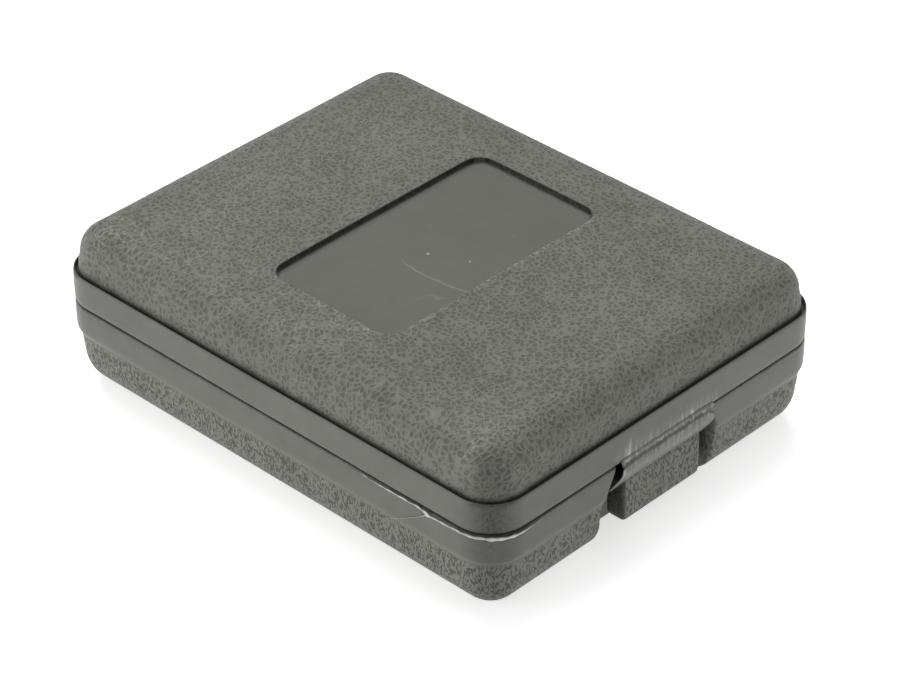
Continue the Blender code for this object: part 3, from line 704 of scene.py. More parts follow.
def notched(inset, z, half, depth, fillet=0.9):
    """The case's outline moved inwards, with the latch bay's notch in its front side.

    The front side runs straight, round a fillet into the bay, along its side wall, round a
    second fillet and along its back, then the same mirrored; half and depth size the notch.
    """
    side, bend, wall, _, back = BASE_COUNTS
    r = max(CORNER_R - inset, 1.2)
    w, d = CASE_W - 2 * inset, CASE_D - 2 * inset
    start = -(w / 2 - r)
    depth = max(depth, 0.02)
    f = min(fillet, depth * 0.48)
    q = np.linspace(0, np.pi / 2, bend + 1)
    xs = [np.linspace(start, -half - f, side, endpoint=False),
          (-half - f + f * np.sin(q))[:-1],
          np.full(wall, -half),
          (-half + f - f * np.cos(q))[:-1],
          np.linspace(-half + f, half - f, back, endpoint=False)]
    ds = [np.zeros(side), (f - f * np.cos(q))[:-1],
          np.linspace(f, depth - f, wall, endpoint=False),
          (depth - f + f * np.sin(q))[:-1], np.full(back, depth)]
    xs += [(half - f + f * np.sin(q))[:-1], np.full(wall, half),
           (half + f - f * np.cos(q))[:-1], np.linspace(half + f, -start, side, endpoint=False)]
    ds += [(depth - f + f * np.cos(q))[:-1], np.linspace(depth - f, f, wall, endpoint=False),
           (f - f * np.sin(q))[:-1], np.zeros(side)]
    front = np.stack([np.concatenate(xs), -d / 2 + np.concatenate(ds)], axis=-1)
    rest = round_rect(w, d, r)[SIDE_COUNTS[0]:]
    return with_z(np.concatenate([front, rest]), z)


def bay_half(z):
    """Half width of the latch bay at a height: flared below the parting line."""
    return float(np.interp(z, (0.0, 12.0, 19.2, 22.7, 25.7, 28.5, 30.5),
                           (24.6, 24.8, 24.5, 23.7, 22.4, 20.8, 20.4)))


def base_grid():
    """Points and layers of the base: inner floor, inside wall, rim, band, body, underside."""
    rows, grain, wear = [], [], []

    def add(points, g=0.0, w=0.0):
        rows.append(points)
        grain.append(np.full(len(points), float(g)))
        wear.append(np.full(len(points), float(w)))

    def inside(inset, z):
        return notched(inset, z, 28.0, 14.5 - inset, 0.8)

    floor = inside(7.0, 3.0)
    for k in (0.03, 0.5, 0.9):
        add(floor * (k, k, 1.0))
    for inset, z in ((7.0, 3.0), (7.0, 16.0), (7.0, 27.5), (6.95, 29.2), (6.8, 29.9),
                     (6.45, 30.25), (5.9, 30.35)):
        add(inside(inset, z))
    outer = notched(1.0, 30.35, bay_half(30.4), BAY_DEPTH - 1.0)
    inner = rows[-1]
    for t in (0.25, 0.5, 0.75):
        add(inner * (1 - t) + outer * t)
    # inset, z, grain and wear of each row
    body = [(1.0, 30.35, 0, 0), (0.45, 30.3, 0, .3), (0.14, 30.1, 0, .4), (0.03, 29.75, 0, .3),
            (0.03, 29.2, 0, .1), (0.0, 28.95, 0, .3), (-0.05, 28.7, 0, .1), (-0.03, 27.0, 0, 0),
            (-0.02, 25.0, 0, 0), (0.0, 23.0, 0, 0),
            (0.04, 21.6, 0, 0), (0.14, 20.9, 0, .1), (0.34, 20.3, 0, .1), (0.62, 19.8, 0, 0),
            (0.92, 19.3, .1, 0), (1.18, 18.6, .45, 0), (1.34, 17.7, .9, 0), (1.48, 16.2, 1, 0),
            (1.62, 14.6, 1, 0), (1.80, 13.2, 1, 0), (1.94, 12.4, 1, .1)]
    for inset, z, g, w in body:
        add(notched(inset, z, bay_half(z), BAY_DEPTH - inset), g, w)
    steps = 12
    for step in range(1, steps + 1):
        a = math.radians(90 * step / steps)
        inset = EDGE_INSET + EDGE_REACH * (1 - math.cos(a))
        add(notched(inset, EDGE_Z * (1 - math.sin(a)), BAY_FOOT, max(BAY_DEPTH - inset, 0.3)),
            1.0, 0.15 * math.sin(2 * a))
    for inset in (13.6, 15.5):
        add(notched(inset, 0.0, BAY_FOOT, max(BAY_DEPTH - inset, 0.3)), 0.7)
    under = rows[-1]
    for k in (0.8, 0.5, 0.03):
        add(under * (k, k, 1.0), 0.5)
    return np.array(rows), np.array(grain), np.array(wear)


def base_mesh():
    """The base's shell in one closed mesh, a tub that the tray sits in."""
    grid, grain, wear = base_grid()
    x, y, z = grid[..., 0].copy(), grid[..., 1].copy(), grid[..., 2].copy()
    margin = np.minimum(CASE_W / 2 - np.abs(x), CASE_D / 2 - np.abs(y))
    edge = smoothstep(3.4, 0.5, margin)
    corner = np.hypot(x + CASE_W / 2, y - FRONT_Y)
    rim = edge * smoothstep(27.5, 30.0, z)
    grid[..., 2] -= rim * 0.16 * hump(corner, 0.0, 28.0)
    sway = 0.09 * waves(x, y, 8, 60.0) * edge * smoothstep(18.0, 22.0, z)
    side_x, side_y = np.abs(x) > CASE_W / 2 - 3.2, np.abs(y) > CASE_D / 2 - 3.2
    grid[..., 0] += np.where(side_x, np.sign(x) * sway, 0)
    grid[..., 1] += np.where(side_y & ~side_x, np.sign(y) * sway, 0)
    wear = wear * 0.8 + 0.4 * hump(x, -70, 6) * hump(y, 86, 10) * (z < 20)
    in_bay = smoothstep(2.0, 4.5, y - FRONT_Y - 2.0) * (np.abs(x) < 25.5) * (y < -77.5)
    # painted shade under the rim's edge, deep in the latch bay and in a stripe down the front left
    # corner
    dust_and_shade = 0.55 * smoothstep(29.4, 30.3, z) * smoothstep(1.2, 0.3, margin)
    dust_and_shade = np.maximum(dust_and_shade, 0.5 * in_bay * smoothstep(4.0, 14.0, z))
    front_corner = np.hypot(x + CASE_W / 2 - 3.0, y - FRONT_Y - 3.0)
    dust_and_shade = np.maximum(dust_and_shade, 0.42 * hump(front_corner, 0, 7.5))
    return solid("base", grid, "base", finish("base_plastic"),
                 layers={"grain": grain * (1 - in_bay), "wear": np.clip(wear, 0, 1),
                         "dust_and_shade": dust_and_shade}, stands_for=("base_shell",))


def flash_ribbon(name, anchors, width, thick=0.16):
    """A ragged ribbon through anchor points: a flat six-sided section carried from one to the
    next, its width swayed by waves.

    Each anchor is (x, y, z, share of the width); the section stands off the wall along the
    outward normal of the case's plan outline and its width runs down the wall.
    """
    a = np.array(anchors, float)
    along = np.concatenate([[0], np.cumsum(np.linalg.norm(np.diff(a[:, :3], axis=0), axis=1))])
    s = np.linspace(0, along[-1], int(along[-1] * 2.2) + 4)
    x, y, z, share = (np.interp(s, along, a[:, i]) for i in range(4))
    ax, ay = CASE_W / 2 - CORNER_R, CASE_D / 2 - CORNER_R
    nx, ny = x - np.clip(x, -ax, ax), y - np.clip(y, -ay, ay)
    size = np.hypot(nx, ny)
    nx, ny = nx / size, ny / size
    px, py = np.clip(x, -ax, ax) + nx * CORNER_R, np.clip(y, -ay, ay) + ny * CORNER_R
    rag = 1 + 0.45 * waves(s, 0.0, 41, 3.5) + 0.25 * waves(s, 0.0, 43, 1.4)
    half = np.maximum(0.5 * width * share * rag, 0.05)
    out = 0.18 + 0.16 * waves(s, 0.0, 47, 5.0) + 0.3 * share
    v = np.array([(-1.0, 0.0), (-0.4, 1.0), (0.4, 1.0), (1.0, 0.2), (0.4, -0.6), (-0.4, -0.6)])
    up = v[:, 0][None, :] * half[:, None]
    off = (out[:, None] + v[:, 1][None, :] * thick)
    grid = np.stack([px[:, None] + nx[:, None] * off, py[:, None] + ny[:, None] * off,
                     z[:, None] + up], axis=-1)
    return solid(name, grid, "base", finish("flash"))


def parting_flash():
    """Flash along the base's rim round the front left corner, and a torn hair of it."""
    x0, y0 = -CASE_W / 2, FRONT_Y
    flash_ribbon("flash_side", [
        (x0, -40.0, 30.0, 0.1), (x0, -47.6, 29.7, 0.5), (x0, -56.0, 29.9, 0.8),
        (x0, -63.0, 30.2, 0.9), (x0, -66.2, 29.7, 1.9), (x0, -68.0, 29.2, 1.0),
        (x0, -75.2, 29.6, 0.8), (x0 + 0.4, -81.0, 29.9, 1.1), (x0 + 2.6, -86.3, 30.0, 1.5),
        (x0 + 5.2, y0 + 2.4, 29.8, 1.6), (x0 + 8.0, y0 + 0.9, 29.7, 1.4),
        (x0 + 12.0, y0, 29.7, 1.1), (x0 + 19.5, y0, 29.7, 0.2)], 0.75)
    flash_ribbon("flash_hair", [
        (x0, -66.4, 28.9, 0.9), (x0, -63.0, 26.4, 0.4), (x0, -58.5, 23.6, 0.3),
        (x0, -51.3, 19.6, 0.2)], 0.40, 0.07)


# ---------------------------------------------------------------- tray

Pocket = namedtuple("Pocket", "x y w d r floor")
SOCKET_SIZES = (4, 5, 5.5, 6, 7, 8, 9, 10, 11, 12, 13, 14)
SOCKET_FLOOR = 8.5


def node_middle(name):
    """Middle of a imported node's box, in mm."""
    low, high = (np.array(tuple(corner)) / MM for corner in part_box(name))
    return (low + high) / 2


def socket_name(size):
    return ("socket_%04.1fmm" % size).replace(".", "_")


def socket_radius(size):
    return max(11.8, 1.22 * size + 1.9) / 2


def tray_pockets():
    """Every hollow of the tray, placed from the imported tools."""
    x, y = RATCHET_AT[:2]
    found = [Pocket(x, y, 28.0, 28.0, 13.9, 13.2), Pocket(x, y - 14.0, 22.6, 23.0, 9.9, 13.2),
             Pocket(x, y, 10.4, 10.4, 5.1, 6.4), Pocket(x, y - 67.2, 15.6, 94.6, 5.0, 12.8)]
    x, y = SPINNER_AT[:2]
    found += [Pocket(x, y - 37.0, 23.2, 76.0, 6.0, 9.0),
              Pocket(x, y - 97.0, 9.6, 58.0, 4.0, 15.4)]
    x, y = EXTENSION_AT[:2]
    found += [Pocket(x, y - 8.5, 13.2, 19.4, 3.0, 13.4),
              Pocket(x, y - 44.0, 9.6, 64.0, 4.0, 15.2)]
    x, y = UNIVERSAL_AT[:2]
    found.append(Pocket(x, y, 31.0, 46.0, 6.0, 9.0))
    x, y = TBAR_AT[:2]
    found += [Pocket(x, y, 94.0, 16.0, 4.0, 6.6), Pocket(x, y, 112.6, 7.2, 3.0, 17.5)]
    for size in SOCKET_SIZES:
        x, y, _ = node_middle(socket_name(size))
        width = 2 * socket_radius(size) + 0.9
        found.append(Pocket(x, y, width, width, width / 2 - 0.01, SOCKET_FLOOR))
    return found


def rect_distance(x, y, p):
    """Signed distance to a pocket's round-cornered outline: negative inside."""
    qx, qy = np.abs(x - p.x) - (p.w / 2 - p.r), np.abs(y - p.y) - (p.d / 2 - p.r)
    return np.hypot(np.maximum(qx, 0), np.maximum(qy, 0)) + np.minimum(np.maximum(qx, qy), 0) - p.r


def tray_mesh():
    """The tray's top with its hollows, closed by a skirt and a flat underside.

    Height over a grid in x and y is the lowest of the pockets' floors, each rising from its
    outline to the tray's top across a narrow sloped wall with rounded ends. Points near the
    foot or the top of a wall are first pulled onto it, so that edges run cleanly.
    """
    draft, step, pull = 0.75, 0.62, 0.34      # wall's width, grid step, reach of the pull
    xs = np.concatenate([np.arange(-65.8, -27.7, step), [-27.7, -27.5],
                         np.arange(-27.5 + step, 27.5, step), [27.5, 27.7],
                         np.arange(27.7 + step, 66.0, step)])
    v = np.linspace(0, 1, 274)
    front = np.where(np.abs(xs) < 27.6, -77.3, -84.9)
    x = np.repeat(xs[None, :], len(v), axis=0)
    y = front[None, :] + v[:, None] * (84.9 - front[None, :])
    pockets = tray_pockets()

    def nearest(px, py):
        return np.min([rect_distance(px, py, p) for p in pockets], axis=0)

    h = 0.05                                  # half step of the slope's measure
    for _ in range(2):
        d = nearest(x, y)
        gx = (nearest(x + h, y) - nearest(x - h, y)) / (2 * h)
        gy = (nearest(x, y + h) - nearest(x, y - h)) / (2 * h)
        to_foot, to_top = np.abs(d) < pull, np.abs(d - draft) < pull
        shift = np.where(to_foot, -d, np.where(to_top, draft - d, 0.0))
        inner = (np.abs(x) < 65.0) & (np.abs(y) < 84.0)
        x, y = x + shift * gx * inner, y + shift * gy * inner
    z = np.full(x.shape, TRAY_Z)
    for p in pockets:
        d = rect_distance(x, y, p)
        t = np.clip(d / draft, 0, 1)
        rise = p.floor + (TRAY_Z - p.floor) * t
        rise += 0.35 * hump(d, -0.2, 0.35) * (d < 0.2)                # fillet at the foot
        z = np.minimum(z, np.where(d > draft, TRAY_Z, rise))
    near = nearest(x, y)
    z -= 0.28 * hump(near, draft, 0.45) * (near > draft - 0.01)       # rounded lip
    z += 0.06 * waves(x, y, 61, 30.0)
    rows, cols = x.shape
    top = np.stack([x, y, z], axis=-1).reshape(-1, 3)
    ring = np.concatenate([np.arange(cols), np.arange(1, rows) * cols + cols - 1,
                           rows * cols - 2 - np.arange(cols - 1),
                           (rows - 2 - np.arange(rows - 2)) * cols])
    skirt = top[ring].copy()
    skirt[:, 2] = 4.6
    points = np.concatenate([top, skirt, [[0.0, 0.0, 4.6]]])
    i = np.arange(len(ring))
    j = (i + 1) % len(ring)
    first = len(top)
    walls = np.stack([ring[j], ring[i], first + i, first + j], axis=-1)
    under = np.stack([first + j, first + i, np.full(len(ring), len(points) - 1)], axis=-1)
    quads = np.concatenate([grid_faces(rows, cols, False), walls])
    mesh = bpy.data.meshes.new("tray")
    mesh.from_pydata((points * MM).tolist(), [], quads.tolist() + under.tolist())
    mesh.shade_smooth()
    mesh.set_sharp_from_angle(angle=math.radians(42))
    wear = np.zeros(len(points))
    wear[:len(top)] = (0.5 * hump(near, draft, 0.5)).reshape(-1)
    dust_and_shade = np.zeros(len(points))
    # painted shade deep in the pockets, next to their walls
    dust_and_shade[:len(top)] = (0.35 * smoothstep(20.0, 9.0, z) * smoothstep(-1.2, 0.0, near)).reshape(-1)
    for key, values in (("wear", wear), ("dust_and_shade", dust_and_shade), ("grain", np.zeros(len(points)))):
        mesh.attributes.new(key, "FLOAT", "POINT").data.foreach_set(
            "value", values.astype(np.float32))
    return place("tray", mesh, "base", finish("base_plastic"))


# ---------------------------------------------------------------- latch

# depth behind the front and height of points down the flange's face
LATCH_PROFILE = ((0.0, 31.0), (-0.75, 30.3), (-1.25, 29.3), (-1.38, 28.2), (-1.2, 26.9),
                 (-0.6, 25.3), (0.4, 23.5), (1.7, 21.6), (3.0, 19.8), (4.4, 17.9))
FLANGE_X = (-19.3, 21.4)
BLOCK_X = (-14.0, 20.0)


def latch_section(t):
    """Depth behind the band and height at shares t of the way down the flange's face."""
    knots = np.array(LATCH_PROFILE)
    along = np.concatenate([[0], np.cumsum(np.hypot(*np.diff(knots, axis=0).T))])
    along /= along[-1]
    return np.interp(t, along, knots[:, 0]), np.interp(t, along, knots[:, 1])


def latch_flange():
    """The curved flange: its face's profile carried along X, thinned and rounded at the ends."""
    left, right = FLANGE_X
    bend_l, bend_r = 1.6, 3.8
    q = np.linspace(0, np.pi / 2, 11)
    xs = np.concatenate([left + bend_l * (1 - np.cos(q)),
                         np.linspace(left + bend_l, right - bend_r, 45)[1:-1],
                         (right - bend_r * (1 - np.cos(q)))[::-1]])
    t = np.linspace(0, 1, 28)
    over_l = np.clip((left + bend_l - xs) / bend_l, 0, 1)
    over_r = np.clip((xs - right + bend_r) / bend_r, 0, 1)
    pull = 1 - np.sqrt(1 - np.maximum(over_l, over_r) ** 2)
    start = 0.115 + pull * np.where(xs > 0, 0.27, 0.05)
    stop = 1 - pull * np.where(xs > 0, 0.34, 0.08)
    share = start[:, None] + (stop - start)[:, None] * t
    depth, z = latch_section(share)
    depth = depth + 0.10 * waves(xs[:, None], z, 21, 16.0)
    depth = depth - 0.35 * (smoothstep(3.2, 0.0, xs - left)[:, None]
                            * smoothstep(0.35, 0.1, np.abs(t - 0.12))[None, :])
    thick = 0.55 + 0.75 * np.sin(np.pi * t) ** 0.5
    thick = thick[None, :] * (1 - 0.55 * np.maximum(over_l, over_r))[:, None]
    x = np.broadcast_to(xs[:, None], z.shape)
    front = np.stack([x, FRONT_Y + depth, z], axis=-1)
    back = np.stack([x, FRONT_Y + depth + thick * 0.95, z - 0.25 * thick], axis=-1)
    grid = np.concatenate([front, back[:, ::-1]], axis=1)
    gx, gz = grid[..., 0], grid[..., 2]
    stress = 0.20 + 0.35 * smoothstep(27.0, 30.6, gz) * (0.4 + 0.6 * hump(gx, 12, 12))
    stress = np.maximum(stress, 0.55 * smoothstep(1.3, 0.2, gx - left))
    stress = np.maximum(stress, 0.45 * smoothstep(1.5, 0.3, right - gx))
    return solid("latch_flange", grid, "latch", finish("lid_plastic"), layers={
        "wear": 0.15 + 0.25 * smoothstep(21.5, 18.5, gz), "stress": stress})


def latch_block():
    """The grained block under the flange: round-cornered outlines carried up Z."""
    rows = []
    middle, width = sum(BLOCK_X) / 2, BLOCK_X[1] - BLOCK_X[0]
    for z, shrink in ((4.9, 1.9), (4.95, 1.2), (5.2, 0.6), (5.8, 0.2), (6.8, 0.0), (12.0, 0.0),
                      (16.0, 0.0), (18.6, 0.0), (20.0, 0.0), (20.9, 0.15), (21.6, 0.7)):
        row = with_z(round_rect(width - 2 * shrink, 7.2 - 2 * shrink,
                                max(1.3 - shrink * 0.5, 0.4), (34, 8, 7)), z)
        row[:, 0] += middle
        row[:, 1] += FRONT_Y + 2.6 + 3.6 + 0.9 * smoothstep(18.5, 21.6, z)
        rows.append(row)
    grid = np.array(rows)
    x, y, z = grid[..., 0], grid[..., 1], grid[..., 2]
    face = smoothstep(FRONT_Y + 5.0, FRONT_Y + 3.4, y)
    grain = smoothstep(21.0, 19.6, z) * face
    edge = smoothstep(BLOCK_X[1] - 1.5, BLOCK_X[1] - 0.4, x) * face
    grain = grain * smoothstep(BLOCK_X[0] + 0.3, BLOCK_X[0] + 1.1, x)
    # painted shadow on the block's left end, which stands in the notch
    dust_and_shade = 0.85 * smoothstep(BLOCK_X[0] + 1.0, BLOCK_X[0] + 0.2, x)
    return solid("latch_block", grid, "latch", finish("base_plastic"), layers={
        "grain": grain, "wear": 0.1 + 0.9 * edge, "stress": 0.35 * edge, "dust_and_shade": dust_and_shade},
        stands_for=("latch",))


def latch_web():
    """The thin living hinge across the crease, between the lid and the latch."""
    xs = np.linspace(-19.0, 21.4, 130)
    t = np.linspace(0, 1, 14)
    knots_d, knots_z = (0.0, -0.06, -0.30, -0.75, -1.05), (31.6, 31.1, 30.55, 30.0, 29.5)
    along = np.linspace(0, 1, len(knots_d))
    d, z = np.interp(t, along, knots_d), np.interp(t, along, knots_z)
    swell = np.sin(np.pi * t)[None, :]
    rag = (0.20 * waves(xs, 0.0, 31, 3.0) + 0.12 * waves(xs, 0.0, 33, 1.1))[:, None] * swell
    lump = (0.30 * hump(xs, 21.0, 1.6) + 0.22 * hump(xs, 17.0, 1.2)
            + 0.25 * hump(xs, -18.4, 0.8))[:, None] * swell
    x = np.broadcast_to(xs[:, None], rag.shape)
    front = np.stack([x, FRONT_Y + d[None, :] - 0.10 - 0.5 * np.abs(rag) - lump,
                      z[None, :] + rag], axis=-1)
    grid = np.concatenate([front, front[:, ::-1] + (0.0, 0.35, 0.0)], axis=1)
    gx, gz = grid[..., 0], grid[..., 2]
    line = hump(gz, 30.62 + 0.18 * waves(gx, 0.0, 35, 4.0), 0.26)
    stress = 1.0 * line * (0.70 + 0.30 * np.clip(hump(gx, 14, 10) + hump(gx, -17, 3), 0, 1))
    stress = np.clip(stress + 0.25 * hump(gx, 20.5, 2.5) + 0.10, 0, 1)
    # the last layer is painted shade in a line just under the crease
    obj = solid("latch_web", grid, None, finish("lid_plastic"), layers={
        "wear": 0.4 * line, "stress": stress, "dust_and_shade": 0.5 * hump(gz, 29.95, 0.16)})
    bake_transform(obj)
    return obj


# ---------------------------------------------------------------- hinge

def knuckle(name, centre, x0, x1, down, body):
    """One hinge knuckle: a ring whose outside is a circle round the pin joined to a web that
    runs to the case's back wall, below the pin on the base and above it on the lid."""
    theta = np.linspace(0, 2 * np.pi, 65)[:-1]
    c, s = np.cos(theta), np.sin(theta)
    up = -1.0 if down else 1.0
    towards = np.clip(-c, 1e-6, None)
    wall = 5.0 / towards
    slope = 7.4 / np.clip(s * up + 0.62 * towards, 1e-6, None) * 0.72
    web = np.where((c < 0) & (s * up > -0.05), np.minimum(wall, np.maximum(slope, 4.0)), 0)
    outer = np.maximum(4.0, web)
    rings = []
    half = (x1 - x0) / 2
    middle = centre + (x0 + x1) / 2
    steps = [(1.7, half - 0.3), (1.95, half), (2.4, half)]
    outs = [(0.55, half), (0.15, half - 0.15), (0.0, half - 0.55), (0.0, 0.0)]
    for r, x in steps:
        rings.append((np.full_like(theta, r), x))
    for less, x in outs:
        rings.append((outer - less, x))
    for less, x in outs[-2::-1]:
        rings.append((outer - less, -x))
    for r, x in steps[::-1]:
        rings.append((np.full_like(theta, r), -x))
    grid = np.array([np.stack([np.full_like(theta, middle + x), HINGE_Y + r * c,
                               SPLIT_Z + r * s], axis=-1) for r, x in rings])
    return solid(name, grid, body, finish("base_plastic" if down else "lid_plastic"),
                 wrap_rows=True, layers={"wear": 0.25})


# ---------------------------------------------------------------- tools

DRIVE = 6.35
DRIVE_HOLE = DRIVE + 0.15
EDGE_ANGLE = math.radians(34)           # sharper edges of turned pieces are shaded hard


def node_back(name):
    """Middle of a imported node's box across its length, at the node's back end, in mm."""
    x, _, z = node_middle(name)
    return np.array([x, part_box(name)[1][1] / MM, z])


GEAR_MIDDLE = node_middle("drive_gear")
RATCHET_AT = np.array([*GEAR_MIDDLE[:2], 20.5])
SPINNER_AT = node_back("spinner_grip")
EXTENSION_AT = node_back("extension_bar")
UNIVERSAL_AT = node_middle("universal_cross")
TBAR_AT = node_middle("t_bar_rod")
PAWL_Y, HEAD_R, TAIL_R = -13.0, 12.5, 8.0

LYING = np.array([(1, 0, 0), (0, 0, -1), (0, 1, 0)], float)      # length runs towards -Y
ACROSS = np.array([(0, 0, 1), (0, 1, 0), (-1, 0, 0)], float)     # length runs towards +X
UPRIGHT = np.eye(3)
FACING = np.array([(0, -1, 0), (0, 0, 1), (-1, 0, 0)], float)    # length runs towards +Y


def around(sides=72):
    return np.linspace(0, 2 * np.pi, sides, endpoint=False)


def polygon(theta, corners, across, turn=0.0):
    """Radius of a regular polygon at angles theta, measured across its flats."""
    part = 2 * np.pi / corners
    return across / 2 / np.cos(np.mod(theta - turn, part) - part / 2)


def square_hole(theta, side=DRIVE):
    return polygon(theta, 4, side, np.pi / 4)


def turned(name, rings, at, turn, body, material, slot, sides=72, loop=False, stands_for=()):
    """A bar from (length, radius) rings, the radius a number or one per angle, carried along
    its axis and turned into place; loop joins the last ring to the first."""
    theta = around(sides)
    radii = np.array([np.broadcast_to(r, theta.shape) for _, r in rings])
    lengths = np.array([s for s, _ in rings], float)
    local = np.stack([radii * np.cos(theta), radii * np.sin(theta),
                      np.broadcast_to(lengths[:, None], radii.shape)], axis=-1)
    grid = local @ turn.T + np.array(at, float)
    obj = solid(name, grid, body, material, wrap_rows=loop, slot=slot, stands_for=stands_for)
    obj.data.set_sharp_from_angle(angle=EDGE_ANGLE)
    return obj


def drive_end(theta, shoulder, z0, z1, r):
    """Rings from a round shoulder of radius r to a square's bevelled end."""
    lean = math.copysign(0.7, z1 - z0)
    return [(shoulder, r), (z0, r - 0.25), (z0, square_hole(theta)),
            (z1 - lean, square_hole(theta)), (z1, square_hole(theta, DRIVE - 1.3))]


def groove(s, r, deep=0.22, wide=0.8):
    return [(s, r), (s + 0.15, r - deep), (s + wide, r - deep), (s + wide + 0.15, r)]


def socket_tool(size):
    """A six-point socket: knurled drive end with two grooves, waist, and a hexagon mouth."""
    theta = around()
    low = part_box(socket_name(size))[0][2] / MM
    x, y, _ = node_middle(socket_name(size))
    big, long = socket_radius(size), 25.0
    small = min(0.61 * size + 1.45, big)
    hexagon, through = polygon(theta, 6, size + 0.1, np.pi / 6), min(0.4 * size, 2.4)
    hole = square_hole(theta, DRIVE_HOLE)
    knurl = big - 0.10 + 0.10 * np.cos(36 * theta)
    corner = (size + 0.1) / math.sqrt(3)
    rim = max(small - 0.55, corner + 0.12)
    rings = [(0, big - 0.6), (0.15, big - 0.25), (0.6, big), *groove(1.8, big),
             (3.4, big), (3.6, knurl), (7.4, knurl), (7.6, big), *groove(8.4, big), (11.4, big),
             (12.0, big - 0.04), (12.8, (big + small) / 2), (13.5, small), (13.9, small),
             (long - 0.9, small), (long - 0.35, small - 0.16), (long, rim),
             (long, np.maximum(hexagon, corner)), (long - 0.8, hexagon), (12.9, hexagon),
             (12.5, hexagon * 0.96), (12.4, through), (9.0, through),
             (9.0, hole), (0.7, hole), (0.0, np.maximum(hole, 4.3))]
    return turned("visual_" + socket_name(size), rings, (x, y, low), UPRIGHT, "base",
                  finish("chrome_plate"), "chrome", loop=True, stands_for=(socket_name(size),))


def extension_tool():
    theta = around()
    hole = square_hole(theta, DRIVE_HOLE)
    rings = [(9.0, hole), (0.6, hole), (0.0, np.maximum(hole, 4.4)), (0.0, 5.3), (0.2, 5.7),
             (0.7, 5.9), *groove(2.4, 5.9), (9.6, 5.9), *groove(10.2, 5.9), (13.2, 5.9),
             (14.0, 5.6), (15.2, 4.7), (16.4, 4.0), (17.6, 3.75), (61.4, 3.75), (62.2, 4.1),
             (63.0, 4.6), *drive_end(theta, 66.1, 66.5, 75.0, 4.6)]
    turned("extension", rings, EXTENSION_AT, LYING, "base", finish("chrome_plate"), "chrome",
           stands_for=("extension_bar",))


def spinner_tool():
    """The fluted grip, whose radius falls in eight waves, and the shank in its nose."""
    theta = around(128)

    def fluted(r, share):
        return r - share * 0.9 * (0.5 + 0.5 * np.cos(8 * theta)) ** 1.5

    rings = [(s, fluted(r, share)) for s, r, share in (
        (0.0, 4.6, 0), (0.15, 6.0, 0), (0.6, 7.6, 0), (1.5, 9.0, 0), (2.8, 10.1, 0),
        (4.4, 10.75, 0), (6.2, 11.0, 0.05), (8.4, 11.0, 0.35), (10.5, 11.0, 0.8),
        (12.5, 11.0, 1), (30, 11.0, 1), (48, 11.0, 1), (50.5, 10.9, 0.8), (53, 10.5, 0.4),
        (55.5, 9.8, 0.1), (58, 9.0, 0), (60.5, 8.5, 0), (63.5, 8.5, 0), (66.5, 8.8, 0),
        (69.0, 8.8, 0), (71.0, 8.2, 0), (72.4, 7.0, 0), (73.0, 5.4, 0), (72.9, 4.2, 0))]
    turned("spinner_handle", rings, SPINNER_AT, LYING, "base", finish("black_grip"), "grip",
           sides=128, stands_for=("spinner_grip",))
    theta = around()
    rings = [(72.0, 3.4), (72.2, 4.0), (112.8, 4.0), (113.6, 4.15), (114.4, 4.6),
             *drive_end(theta, 116.6, 117.0, 125.0, 4.6)]
    turned("spinner_bar", rings, SPINNER_AT, LYING, "base", finish("chrome_plate"), "chrome",
           stands_for=("spinner_shank",))


def pear(offset, z):
    """Plan shape of the ratchet's head: two arcs and their common tangents."""
    lean = math.asin((HEAD_R - TAIL_R) / -PAWL_Y)
    arcs = []
    for cy, r, first, last, steps in ((0.0, HEAD_R + offset, -lean, math.pi + lean, 60),
                                      (PAWL_Y, TAIL_R + offset, math.pi + lean,
                                       2 * math.pi - lean, 36)):
        a = np.linspace(first, last, steps)
        arcs.append(np.stack([r * np.cos(a), cy + r * np.sin(a), np.full(steps, z)], axis=-1))
    return np.concatenate(arcs)


def ratchet_tool():
    """The head, pear outlines carried over its rounded edges into the gear's pocket, and the
    handle, a bar with a crossed knurl."""
    heart = np.array([0.0, -4.5, 0.0])
    scale = np.array([1.0, 1.0, 0.0])

    def shrunk(row, k):
        return row + (heart - row) * scale * (1 - k)

    top, ceiling = pear(-1.5, 6.0), pear(-1.62, 3.0)
    rows = [shrunk(top, k) for k in (0.03, 0.5, 0.93)]
    rows += [pear(o, z) for o, z in (
        (-1.5, 6.0), (-0.85, 5.93), (-0.38, 5.62), (-0.1, 5.15), (0, 4.6), (0, 0.6), (-0.12, 0.4),
        (-0.12, -0.4), (0, -0.6), (0, -4.6), (-0.1, -5.15), (-0.38, -5.62), (-0.85, -5.93),
        (-1.4, -6.0), (-1.56, -5.9), (-1.6, -5.5), (-1.62, 3.0))]
    rows += [shrunk(ceiling, k) for k in (0.93, 0.5, 0.03)]
    head = solid("ratchet_head", np.array(rows) + RATCHET_AT, "base", finish("chrome_plate"),
                 slot="chrome", stands_for=("ratchet_handle",))
    head.data.set_sharp_from_angle(angle=EDGE_ANGLE)

    theta = around(120)
    rings = [(15.5, 5.4), (20.5, 5.2), (24.0, 4.7), (27.0, 4.4), (35.5, 4.4), (37.0, 4.7),
             (38.6, 5.6), (40.2, 6.4), (41.4, 6.6), *groove(42.0, 6.6)]
    for s in np.arange(44.0, 102.0, 0.8):
        crossed = np.maximum(np.cos(24 * theta + 1.6 * s), np.cos(24 * theta - 1.6 * s))
        rings.append((s, 6.5 + 0.004 * (s - 44) + 0.17 * crossed))
    rings += [(102.4, 6.85), *groove(103.0, 6.85), (106.5, 6.7), (108.8, 6.3), (110.8, 5.4),
              (112.2, 4.2), (113.0, 2.4)]
    turned("ratchet_grip", rings, RATCHET_AT, LYING, "base", finish("chrome_plate"), "chrome",
           sides=120)


